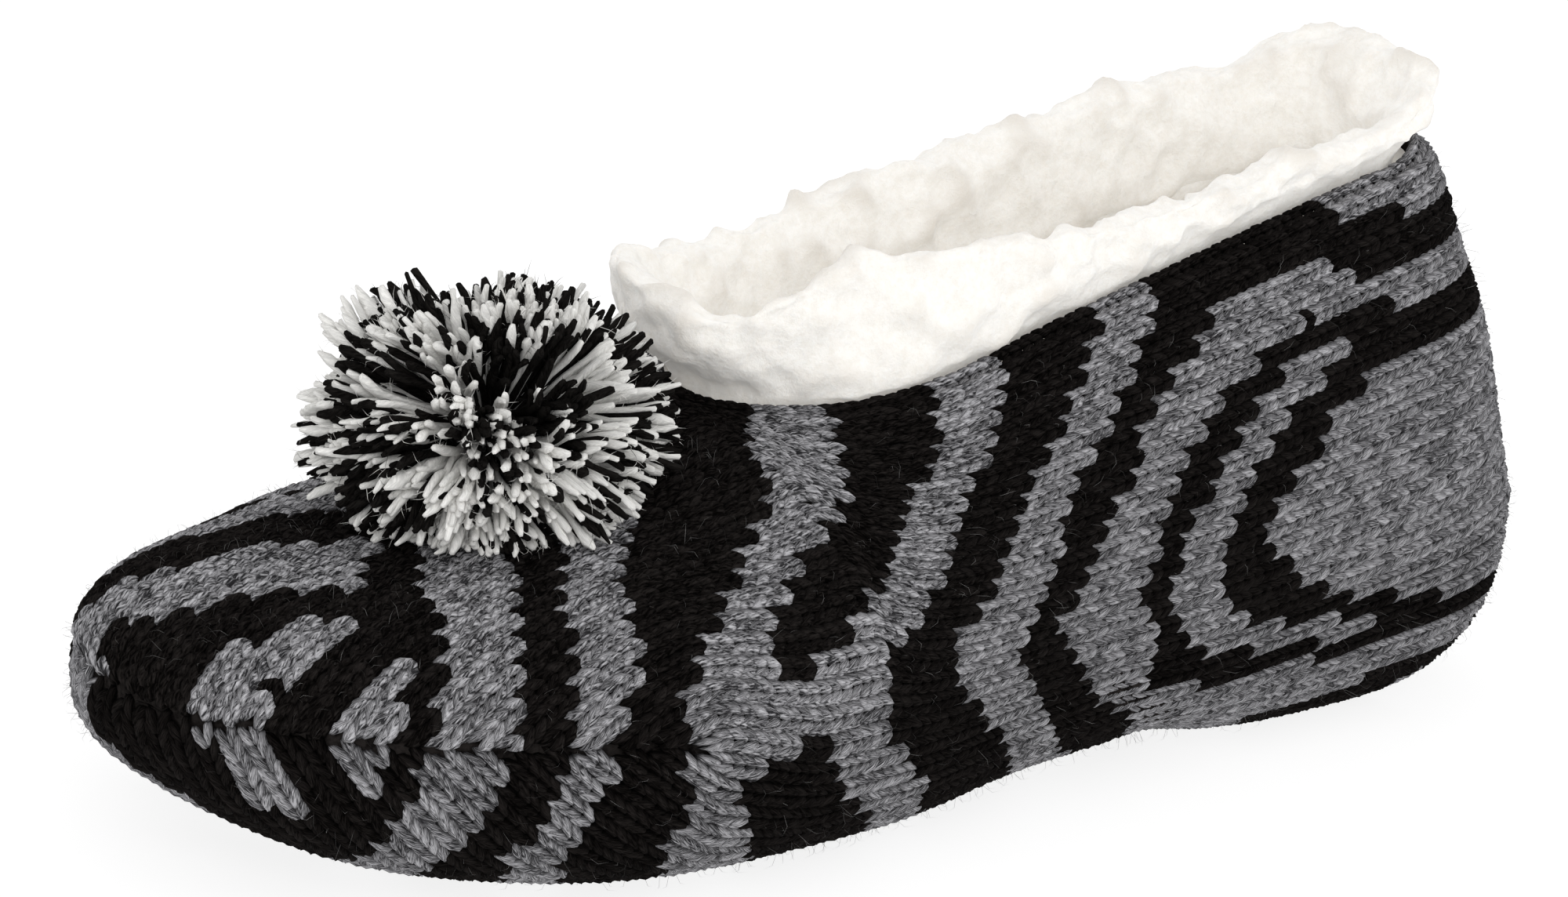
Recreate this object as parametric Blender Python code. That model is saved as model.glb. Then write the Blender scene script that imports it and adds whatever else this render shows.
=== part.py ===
"""Slipper sock: knitted upper and sole, fleece footbed and collar, and a yarn pompom.

The toe points along -X, the sole rests on Z = 0, and lengths here are millimetres.
"""

import math
from collections import namedtuple

import bpy
import numpy as np

MM = 0.001

# Driving sizes of the last
LENGTH = 245.0
KNIT_WALL = 3.0
SOLE_WALL = 4.0
GAP = 0.3
TOE_SPRING = 11.5
SPRING_REACH = 62.0
FLAT_SINK = 1.6
ARCH_RISE = 3.4
ARCH_STATION = 150.0
ARCH_SPREAD = 28.0
HEEL_LEAN = 14.0
LEAN_START = 185.0
LEAN_HEIGHT = 80.0
LEAN_BACK_POWER = 1.5
LEAN_RISE_POWER = 0.85
LEAN_LIMIT = 1.5

# A row for each section: distance from the toe, half width, seam height and height of the closed ridge
Section = namedtuple("Section", "station half_width side_height ridge_height")
SECTIONS = (
    Section(0.0, 37.0, 24.5, 38.0),
    Section(30.0, 43.5, 22.0, 41.5),
    Section(60.0, 52.0, 20.0, 47.0),
    Section(95.0, 48.5, 19.0, 57.0),
    Section(130.0, 41.0, 19.5, 70.0),
    Section(165.0, 38.0, 21.5, 79.5),
    Section(200.0, 34.0, 25.0, 87.0),
    Section(225.0, 32.0, 28.0, 90.5),
    Section(LENGTH, 32.5, 30.0, 93.0),
)

# Round ends: how far each end of the last takes to reach its full size, and how square it is
EndRound = namedtuple("EndRound", "reach power")
TOE_PLAN = EndRound(38.0, 2.3)
HEEL_PLAN = EndRound(34.0, 2.3)
TOE_TOP = EndRound(26.0, 2.4)
HEEL_TOP = EndRound(24.0, 3.1)
TOE_UNDER = EndRound(30.0, 2.4)
HEEL_UNDER = EndRound(44.0, 2.5)
UPPER_POWER = 2.3
SOLE_POWER = 3.0

# Collar opening
THROAT = 92.0
BACK_RIM = LENGTH - 6.0
RIM_SHARE = 0.6
THROAT_ROUND = EndRound(40.0, 2.0)
BACK_ROUND = EndRound(24.0, 2.2)

# Fleece collar: a row for each corner of its section, inward from the rim and up from it
CuffCorner = namedtuple("CuffCorner", "inward up share_of_height")
CUFF_SECTION = (
    CuffCorner(5.5, -8.0, 0.0),
    CuffCorner(3.9, -6.0, 0.0),
    CuffCorner(3.7, -0.9, 0.0),
    CuffCorner(2.9, 1.0, 0.0),
    CuffCorner(1.6, 2.2, 0.0),
    CuffCorner(0.9, 0.0, 0.38),
    CuffCorner(0.9, 0.0, 0.66),
    CuffCorner(2.4, 0.0, 0.92),
    CuffCorner(5.2, 0.0, 1.0),
    CuffCorner(8.2, 0.0, 0.92),
    CuffCorner(10.0, 0.0, 0.6),
    CuffCorner(10.0, 0.0, 0.1),
    CuffCorner(8.5, -6.0, 0.0),
)

# How tall the collar stands along the shoe, and how far its top leans out of the opening
CuffRise = namedtuple("CuffRise", "station height lean")
CUFF_RISES = (
    CuffRise(THROAT, 13.5, 4.5),
    CuffRise(112.0, 15.5, 3.0),
    CuffRise(130.0, 15.5, 2.0),
    CuffRise(160.0, 12.0, 1.2),
    CuffRise(200.0, 10.5, 1.5),
    CuffRise(LENGTH, 11.0, 5.0),
)
CUFF_LUMP = 0.7
CUFF_LUMP_COUNTS = (9, 23)
CUFF_LUMP_PHASE = 1.0
CUFF_LUMP_INWARD = 0.5

# Footbed
INSOLE_START = 16.0
INSOLE_END = 233.0
INSOLE_REACH = 0.66
INSOLE_THICKNESS = 5.0
INSOLE_GAP = 0.7

# Pompom
POMPOM_STATION = 57.5
POMPOM_RISE = 10.0
POMPOM_RADIUS = 25.0
POMPOM_CORE = 21.0
POMPOM_SQUASH = 0.84
POMPOM_LOCKS = 76
POMPOM_LOWEST = -0.62
LOCK_ROOT = 11.0
LOCK_WIDTH = 4.3
LOCK_TIP_WIDTH = 3.1
LOCK_SPREAD = 0.06
LOCK_PHASE = 2.4
LOCK_STEEP = 0.9
LOCK_SIDES = 6

# Steps for directions worked out from neighbouring points, in millimetres and radians
NORMAL_STEP = 0.02
NORMAL_ANGLE = 0.002
WELD = 0.001

# Fineness of the facets
TOE_STEPS = 16
COLLAR_STEPS = 22
HEEL_STEPS = 5
UPPER_TURNS = 9
SOLE_TURNS = 6
INSOLE_STEPS = 26
INSOLE_TURNS = 4
CUFF_STEPS = 72
CORE_SUBDIVISIONS = 3


def along(name, station):
    """Smooth value of one column of SECTIONS at the given stations."""
    return smooth_rows(SECTIONS, name, station)


def smooth_rows(rows, name, station):
    """Hermite curve through one named column of a table, with three-point slopes."""
    at = np.array([row.station for row in rows])
    value = np.array([getattr(row, name) for row in rows])
    step = np.diff(at)
    rise = np.diff(value) / step
    slope = np.empty_like(value)
    slope[0], slope[-1] = rise[0], rise[-1]
    slope[1:-1] = (rise[:-1] * step[1:] + rise[1:] * step[:-1]) / (at[2:] - at[:-2])
    station = np.clip(station, at[0], at[-1])
    row = np.clip(np.searchsorted(at, station, side="right") - 1, 0, len(step) - 1)
    t = (station - at[row]) / step[row]
    start = (1 + 2 * t) * (1 - t) ** 2 * value[row] + t * (1 - t) ** 2 * step[row] * slope[row]
    end = t * t * (3 - 2 * t) * value[row + 1] + t * t * (t - 1) * step[row] * slope[row + 1]
    return start + end


def end_round(distance, shape):
    """Share of the full size at a distance from an end: 0 at the tip, 1 past its reach."""
    left = np.clip(1 - np.maximum(distance, 0) / shape.reach, 0, 1)
    return (1 - left ** shape.power) ** (1 / shape.power)


def half_width(station):
    """Half width of the last at its seam line."""
    ends = end_round(station, TOE_PLAN) * end_round(LENGTH - station, HEEL_PLAN)
    return along("half_width", station) * ends


def ridge_height(station):
    """Height of the last's ridge above the floor, as if the collar were closed over."""
    side = along("side_height", station)
    ends = end_round(station, TOE_TOP) * end_round(LENGTH - station, HEEL_TOP)
    return side + (along("ridge_height", station) - side) * ends


def under_height(station):
    """Height of the underside's middle line before it is pressed flat on the floor."""
    side = along("side_height", station)
    spring = TOE_SPRING * np.clip(1 - station / SPRING_REACH, 0, 1) ** 2
    arch = ARCH_RISE * np.exp(-((station - ARCH_STATION) / ARCH_SPREAD) ** 2)
    ends = end_round(station, TOE_UNDER) * end_round(LENGTH - station, HEEL_UNDER)
    return side - (side + FLAT_SINK - spring - arch) * ends


def rim_half_width(station):
    """Half width of the collar opening, 0 in front of the throat and behind the back rim."""
    ends = end_round(station - THROAT, THROAT_ROUND) * end_round(BACK_RIM - station, BACK_ROUND)
    return RIM_SHARE * along("half_width", station) * ends


def rim_turn(station):
    """Section angle of the rim: a right angle where the ridge closes over."""
    share = rim_half_width(station) / np.maximum(half_width(station), GAP)
    return np.arccos(np.clip(share, 0, 1) ** (UPPER_POWER / 2))


def heel_lean(station, height):
    """How far the back of the heel leans forward at a height above the seam line."""
    side = along("side_height", station)
    rise = np.clip((height - side) / (LEAN_HEIGHT - side), 0, LEAN_LIMIT)
    back = np.clip((station - LEAN_START) / (LENGTH - LEAN_START), 0, 1)
    return HEEL_LEAN * back ** LEAN_BACK_POWER * rise ** LEAN_RISE_POWER


def skin(station, turn):
    """Points of the knit's outer face: turn runs from straight down to straight up."""
    station, turn = np.broadcast_arrays(station, turn)
    side = along("side_height", station)
    width = half_width(station)
    crown = ridge_height(station) - side
    power = np.where(turn < 0, SOLE_POWER, UPPER_POWER)
    out = width * np.abs(np.cos(turn)) ** (2 / power)
    up = np.abs(np.sin(turn)) ** (2 / power)
    height = np.where(turn < 0, side - (side - under_height(station)) * up, side + crown * up)
    height = np.maximum(height, 0)
    forward = station - LENGTH / 2 - heel_lean(station, height)
    return np.stack([forward, out, height], -1)


def skin_normal(station, turn):
    """Outward direction of the knit's outer face."""
    station, turn = np.broadcast_arrays(station, turn)
    step = NORMAL_STEP
    angle = NORMAL_ANGLE
    inside = np.clip(station, step * 2, LENGTH - step * 2)
    bent = np.where(turn < 0, np.clip(turn, -math.pi / 2 + angle, -angle), turn)
    bent = np.where(turn >= 0, np.clip(bent, angle, math.pi / 2 - angle), bent)
    forward = skin(inside + step, bent) - skin(inside - step, bent)
    around = skin(inside, bent + angle / 2) - skin(inside, bent - angle / 2)
    normal = np.cross(around, forward)
    middle = np.abs(np.abs(turn) - math.pi / 2) < angle
    normal[middle, 1] = 0
    normal[np.abs(turn) < angle, 2] = 0
    normal /= np.linalg.norm(normal, axis=-1, keepdims=True)
    normal[station <= 0] = (-1, 0, 0)
    normal[station >= LENGTH] = (1, 0, 0)
    return normal


def eased(start, end, steps):
    """Stations from start to end, closer together near both ends."""
    return start + (end - start) * (0.5 - 0.5 * np.cos(np.linspace(0, math.pi, steps + 1)))


def last_stations():
    """Stations from toe to heel that fall on both ends of the collar opening."""
    toe = eased(0, THROAT, TOE_STEPS)
    collar = eased(THROAT, BACK_RIM, COLLAR_STEPS)
    heel = eased(BACK_RIM, LENGTH, HEEL_STEPS)
    return np.concatenate([toe, collar[1:], heel[1:]])


def grid_faces(rows, columns):
    """Quads of a grid of points, row by row."""
    corner = np.arange(rows * columns).reshape(rows, columns)
    quads = np.stack([corner[:-1, :-1], corner[1:, :-1], corner[1:, 1:], corner[:-1, 1:]], -1)
    return quads.reshape(-1, 4)


def add_object(name, points, faces, material):
    """Mesh object from millimetre points, welded and without folded faces."""
    keys = np.round(np.asarray(points) / WELD).astype(np.int64)
    _, first, place = np.unique(keys, axis=0, return_index=True, return_inverse=True)
    place = place.ravel()
    kept = []
    for face in faces:
        ring = [int(place[corner]) for corner in face]
        ring = [corner for i, corner in enumerate(ring) if corner != ring[i - 1]]
        if len(set(ring)) > 2:
            kept.append(ring)
    mesh = bpy.data.meshes.new(name)
    mesh.from_pydata((np.asarray(points)[first] * MM).tolist(), [], kept)
    mesh.shade_smooth()
    mesh.materials.append(material)
    thing = bpy.data.objects.new(name, mesh)
    bpy.context.scene.collection.objects.link(thing)
    return thing


def shell(name, outer, inner, faces, material):
    """Closed wall between an outer sheet and its inner copy, bridged along every open edge."""
    count = len(outer)
    keys = np.round(outer / WELD).astype(np.int64)
    _, place = np.unique(keys, axis=0, return_inverse=True)
    place = place.ravel()
    walls = [list(face) for face in faces]
    walls += [[corner + count for corner in reversed(face)] for face in walls]
    used = {}
    for face in faces:
        for i, corner in enumerate(face):
            before = face[i - 1]
            if place[before] != place[corner]:
                used.setdefault((place[before], place[corner]), (before, corner))
    for (start, end), (before, corner) in used.items():
        if (end, start) not in used:
            walls.append([corner, before, before + count, corner + count])
    return add_object(name, np.concatenate([outer, inner]), walls, material)


def both_sides(points, faces):
    """A grid made for +Y and its mirror copy, both with faces that point out."""
    near = points * (1, -1, 1)
    return np.concatenate([points, near]), np.concatenate([faces[:, ::-1], faces + len(points)])


def knit_half(stations, turns, wall):
    """Outer and inner points of one half of a knit wall, and its faces."""
    outer = skin(stations[:, None], turns)
    normal = skin_normal(stations[:, None], turns)
    inner = outer - normal * wall
    faces = grid_faces(*turns.shape)
    return outer.reshape(-1, 3), inner.reshape(-1, 3), faces


def make_upper(material):
    """Knitted upper from the seam line up to the rim, raised by the gap over the sole."""
    stations = last_stations()
    turns = rim_turn(stations)[:, None] * np.linspace(0, 1, UPPER_TURNS + 1)
    outer, inner, faces = knit_half(stations, turns, KNIT_WALL)
    outer_pair, face_pair = both_sides(outer, faces)
    inner_pair, _ = both_sides(inner, faces)
    lift = np.array([0, 0, GAP])
    return shell("knit_upper", outer_pair + lift, inner_pair + lift, face_pair, material)


def make_sole(material):
    """Knitted sole from the seam line down, pressed flat where it stands."""
    stations = last_stations()
    turns = np.broadcast_to(np.linspace(-math.pi / 2, 0, SOLE_TURNS + 1), (len(stations), SOLE_TURNS + 1))
    outer, inner, faces = knit_half(stations, turns, SOLE_WALL)
    outer_pair, face_pair = both_sides(outer, faces)
    inner_pair, _ = both_sides(inner, faces)
    return shell("knit_sole", outer_pair, inner_pair, face_pair, material)


def make_insole(material):
    """Fleece footbed that fills the bottom of the sole's cup, with a flat top."""
    stations = eased(INSOLE_START, INSOLE_END, INSOLE_STEPS)
    share = np.linspace(0, 1, INSOLE_TURNS + 1)
    turns = np.broadcast_to(-math.pi / 2 * (1 - INSOLE_REACH * share), (len(stations), len(share)))
    face_out = skin(stations[:, None], turns)
    under = face_out - skin_normal(stations[:, None], turns) * (SOLE_WALL + INSOLE_GAP)
    top = under.copy()
    edge = np.maximum(under[:, -1:, 2], under[:, :1, 2] + INSOLE_THICKNESS)
    top[:, :, 2] = edge
    faces = grid_faces(*turns.shape)
    under_pair, face_pair = both_sides(under.reshape(-1, 3), faces)
    top_pair, _ = both_sides(top.reshape(-1, 3), faces)
    return shell("insole", under_pair, top_pair, face_pair, material)


def rim_loop(steps):
    """Closed loop of the collar's rim, with the direction that points into the opening."""
    around = np.arange(steps) / steps * 2 * math.pi
    station = THROAT + (BACK_RIM - THROAT) * (0.5 - 0.5 * np.cos(around))
    side = np.where(np.sin(around) < 0, 1.0, -1.0)
    points = skin(station, rim_turn(station)) * np.stack([np.ones(steps), side, np.ones(steps)], -1)
    points[:, 2] += GAP
    run = np.roll(points, -1, 0) - np.roll(points, 1, 0)
    inward = np.stack([-run[:, 1], run[:, 0], np.zeros(steps)], -1)
    inward /= np.linalg.norm(inward, axis=-1, keepdims=True)
    return around, station, points, inward


def make_cuff(material):
    """Fleece collar: its section carried round the rim, leaning out at both ends, softly lumpy."""
    around, station, rim, inward = rim_loop(CUFF_STEPS)
    height = smooth_rows(CUFF_RISES, "height", station)
    lean = smooth_rows(CUFF_RISES, "lean", station)
    slow, quick = CUFF_LUMP_COUNTS
    lump = CUFF_LUMP * (np.sin(slow * around) + np.cos(quick * around + CUFF_LUMP_PHASE))
    rings = []
    for corner in CUFF_SECTION:
        up = corner.up + corner.share_of_height * (height + lump)
        across = corner.inward + (CUFF_LUMP_INWARD * lump - lean) * corner.share_of_height
        rings.append(rim + inward * across[:, None] + np.array([0, 0, 1]) * up[:, None])
    points = np.stack(rings, 1)
    closed = np.concatenate([points, points[:, :1]], 1)
    closed = np.concatenate([closed, closed[:1]], 0)
    faces = grid_faces(*closed.shape[:2])
    return add_object("sherpa_cuff", closed.reshape(-1, 3), faces, material)


def make_last_cutter():
    """Closed form of the last, a gap larger than the knit, that trims the pompom's underside."""
    stations = eased(0, LENGTH, TOE_STEPS + COLLAR_STEPS)
    turns = np.linspace(-math.pi / 2, math.pi / 2, UPPER_TURNS + SOLE_TURNS + 1)
    turns = np.broadcast_to(turns, (len(stations), len(turns)))
    clear = skin(stations[:, None], turns) + skin_normal(stations[:, None], turns) * GAP * 2
    clear[:, :, 2] += GAP
    points, faces = both_sides(clear.reshape(-1, 3), grid_faces(*turns.shape))
    cutter = add_object("last_cutter", points, faces, bpy.data.materials.new("cutter"))
    cutter.hide_render = True
    cutter.display_type = "WIRE"
    return cutter


def lock_directions():
    """Evenly spread directions over a ball, without those that point into the vamp."""
    order = np.arange(POMPOM_LOCKS) + 0.5
    height = 1 - 2 * order / POMPOM_LOCKS
    angle = order * math.pi * (3 - math.sqrt(5))
    flat = np.sqrt(1 - height ** 2)
    ways = np.stack([flat * np.cos(angle), flat * np.sin(angle), height], -1)
    return ways[height > POMPOM_LOWEST]


def yarn_lock(way, reach):
    """Points and faces of one tapered lock of yarn that stands out along a direction."""
    helper = np.array([0.0, 0.0, 1.0]) if abs(way[2]) < LOCK_STEEP else np.array([1.0, 0.0, 0.0])
    across = np.cross(way, helper)
    across /= np.linalg.norm(across)
    over = np.cross(way, across)
    points = []
    for radius, distance in ((LOCK_WIDTH, LOCK_ROOT), (LOCK_WIDTH, POMPOM_CORE), (LOCK_TIP_WIDTH, reach)):
        for corner in range(LOCK_SIDES):
            angle = corner / LOCK_SIDES * 2 * math.pi
            points.append(way * distance + radius * (across * math.cos(angle) + over * math.sin(angle)))
    faces = [list(range(LOCK_SIDES - 1, -1, -1)), list(range(2 * LOCK_SIDES, 3 * LOCK_SIDES))]
    for ring in (0, LOCK_SIDES):
        for corner in range(LOCK_SIDES):
            after = (corner + 1) % LOCK_SIDES
            faces.append([ring + corner, ring + after, ring + LOCK_SIDES + after, ring + LOCK_SIDES + corner])
    return points, faces


def make_pompom(material, cutter):
    """Yarn pompom: a ball with locks fused on, cut to sit on the vamp."""
    bpy.ops.mesh.primitive_ico_sphere_add(subdivisions=CORE_SUBDIVISIONS, radius=POMPOM_CORE)
    ball = bpy.context.object
    points = [list(vertex.co) for vertex in ball.data.vertices]
    faces = [list(face.vertices) for face in ball.data.polygons]
    bpy.data.objects.remove(ball)
    for order, way in enumerate(lock_directions()):
        reach = POMPOM_RADIUS * (1 + LOCK_SPREAD * math.sin(order * LOCK_PHASE))
        lock_points, lock_faces = yarn_lock(way, reach)
        faces += [[corner + len(points) for corner in face] for face in lock_faces]
        points += lock_points
    seat = skin(POMPOM_STATION, math.pi / 2)
    placed = np.array(points) * (1, 1, POMPOM_SQUASH) + seat + (0, 0, POMPOM_RISE)
    pompom = add_object("pompom", placed, faces, material)
    trim = pompom.modifiers.new("seat_on_vamp", "BOOLEAN")
    trim.operation = "DIFFERENCE"
    trim.solver = "EXACT"
    trim.use_self = True
    trim.object = cutter
    return pompom


def finish(name, colour, roughness):
    """Principled material with one base colour."""
    material = bpy.data.materials.new(name)
    material.use_nodes = True
    surface = material.node_tree.nodes["Principled BSDF"]
    surface.inputs["Base Color"].default_value = (*colour, 1.0)
    surface.inputs["Roughness"].default_value = roughness
    surface.inputs["Metallic"].default_value = 0.0
    return material


def main():
    for thing in list(bpy.data.objects):
        bpy.data.objects.remove(thing)
    knit = finish("zebra_knit", (0.09, 0.088, 0.086), 0.95)
    under = finish("sole_knit", (0.1, 0.098, 0.096), 0.95)
    fleece = finish("white_fleece", (0.86, 0.84, 0.8), 0.95)
    footbed = finish("footbed_fleece", (0.84, 0.82, 0.77), 0.95)
    yarn = finish("pompom_yarn", (0.24, 0.23, 0.22), 0.95)
    make_upper(knit)
    make_sole(under)
    make_insole(footbed)
    make_cuff(fleece)
    make_pompom(yarn, make_last_cutter())


main()
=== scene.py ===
"""Looks of the slipper sock: knitted upper and sole, pile fleece collar and lining, yarn pompom.

Lengths in the tables and functions are millimetres; meshes and settings are in metres.
The toe points along -X and the near side, which the camera sees, is -Y.
"""

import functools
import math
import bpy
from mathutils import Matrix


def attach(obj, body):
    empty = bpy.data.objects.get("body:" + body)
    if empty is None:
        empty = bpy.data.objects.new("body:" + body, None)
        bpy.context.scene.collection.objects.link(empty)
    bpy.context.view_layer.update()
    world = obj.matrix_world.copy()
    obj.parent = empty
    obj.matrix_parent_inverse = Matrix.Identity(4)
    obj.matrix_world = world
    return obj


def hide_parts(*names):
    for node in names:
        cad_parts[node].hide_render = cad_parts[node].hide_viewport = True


bl_info = {
    "name": "Slipper Sock",
    "version": (1, 0, 0),
    "blender": (4, 5, 0),
    "location": "3D View > Sidebar > Slipper",
    "description": "Dresses the slipper sock in knit stitches, pile fleece and a yarn pompom",
    "category": "Add Mesh",
}

from collections import namedtuple

import bpy
import numpy as np
from bpy.props import FloatProperty, FloatVectorProperty, IntProperty, PointerProperty
from mathutils import Matrix, Vector, noise

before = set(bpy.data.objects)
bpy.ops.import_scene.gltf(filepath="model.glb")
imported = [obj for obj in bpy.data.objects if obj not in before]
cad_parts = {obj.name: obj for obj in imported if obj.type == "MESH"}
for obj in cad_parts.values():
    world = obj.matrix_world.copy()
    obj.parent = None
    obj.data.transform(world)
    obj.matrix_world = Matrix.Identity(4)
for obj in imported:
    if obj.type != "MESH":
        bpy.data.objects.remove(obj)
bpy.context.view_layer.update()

MM = 0.001
TINY = 1e-6
MERGE_DISTANCE = 0.00002
UPRIGHT = 0.9

# Sizes of the last, as in the part's source
LENGTH = 245.0
KNIT_WALL = 3.0
SOLE_WALL = 4.0
GAP = 0.3
TOE_SPRING = 11.5
SPRING_REACH = 62.0
FLAT_SINK = 1.6
ARCH_RISE = 3.4
ARCH_STATION = 150.0
ARCH_SPREAD = 28.0
HEEL_LEAN = 14.0
LEAN_START = 185.0
LEAN_HEIGHT = 80.0
LEAN_BACK_POWER = 1.5
LEAN_RISE_POWER = 0.85
LEAN_LIMIT = 1.5

# A row for each section: distance from the toe, half width, seam height and height of the closed ridge
Section = namedtuple("Section", "station half_width side_height ridge_height")
SECTIONS = (
    Section(0.0, 37.0, 24.5, 38.0),
    Section(30.0, 43.5, 22.0, 41.5),
    Section(60.0, 52.0, 20.0, 47.0),
    Section(95.0, 48.5, 19.0, 57.0),
    Section(130.0, 41.0, 19.5, 70.0),
    Section(165.0, 38.0, 21.5, 79.5),
    Section(200.0, 34.0, 25.0, 87.0),
    Section(225.0, 32.0, 28.0, 90.5),
    Section(LENGTH, 32.5, 30.0, 93.0),
)

# Round ends: how far each end takes to reach its full size, and how square it is
EndRound = namedtuple("EndRound", "reach power")
TOE_PLAN = EndRound(38.0, 2.3)
HEEL_PLAN = EndRound(34.0, 2.3)
TOE_TOP = EndRound(26.0, 2.4)
HEEL_TOP = EndRound(24.0, 3.1)
TOE_UNDER = EndRound(30.0, 2.4)
HEEL_UNDER = EndRound(44.0, 2.5)
UPPER_POWER = 2.3
SOLE_POWER = 3.0

# Collar opening
THROAT = 92.0
BACK_RIM = LENGTH - 6.0
RIM_SHARE = 0.6
THROAT_ROUND = EndRound(40.0, 2.0)
BACK_ROUND = EndRound(24.0, 2.2)

# How the wales run: they start along the toe seam, which lies a little above the widest line of the
# last and fades out behind the ball of the foot, and they wrap round the heel to the back seam
FAN_END = 60.0
FAN_POWER = 1.2
FAN_SAMPLES = 400
SEAM_LIFT = 0.15
SEAM_FADE_START = 48.0
SEAM_FADE_END = 80.0
HEEL_START = 200.0
BOTTOM_EDGE = 5.0
COURSE_ORIGIN = 150.0
GIRTH = 54.0
FRONT_SAMPLES = 280
HEEL_SAMPLES = 140

NORMAL_STEP = 0.02
NORMAL_ANGLE = 0.002

# How finely half sections are measured round their girth, and the heel along the shoe
GIRTH_STEPS = 161
GIRTH_EASE = 1.4
GIRTH_STATIONS = 240
GIRTH_SHARES = 101
HEEL_GRID = 2000

# Rings of one stitch leg, from its toe end to its heel end: place along it and share of its full size
Ring = namedtuple("Ring", "along size")
UPPER_LEG = (Ring(-0.36, 0.74), Ring(-0.12, 1.0), Ring(0.13, 1.0), Ring(0.37, 0.72))
SOLE_LEG = (Ring(-0.3, 0.86), Ring(0.02, 1.0), Ring(0.32, 0.84))
UPPER_SIDES = 5
SOLE_SIDES = 4
LEG_LENGTH = 2.05
LEG_WIDTH = 0.27
LEG_THICKNESS = 0.9
LEG_TOE_PLACE = 0.44
LEG_HEEL_PLACE = 0.06
LEG_DIP = 0.55
LEG_SWING = 0.05
LEG_VARIATION = (0.93, 1.07)
THICKNESS_VARIATION = (0.9, 1.1)
YARN_STARTS = 50
LEG_OVERRUN = 1.6
SEAM_DEPTH = 0.4
SEAM_WIDTH = 1.7
SEAM_OVERLAP = 0.1
# Painted shade: stitch legs darken toward black away from their crests, into the grooves between them, down
# to this share of their colour
CREST_SHADE = 0.22
FIRST_STITCH = 0.3
LAST_STITCH = 0.2
TAIL_SAMPLE = 20
TAIL_LENGTH = 24.0
TAIL_POINTS = 60
STITCH_INSET = 0.95
RIM_SAMPLES = 900
RIM_LEVEL = 0.99
RIM_LEAN = 0.7
RIM_INWARD = 1.1
RIM_SINK = 0.9
RIM_WIDTH = 2.9

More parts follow.
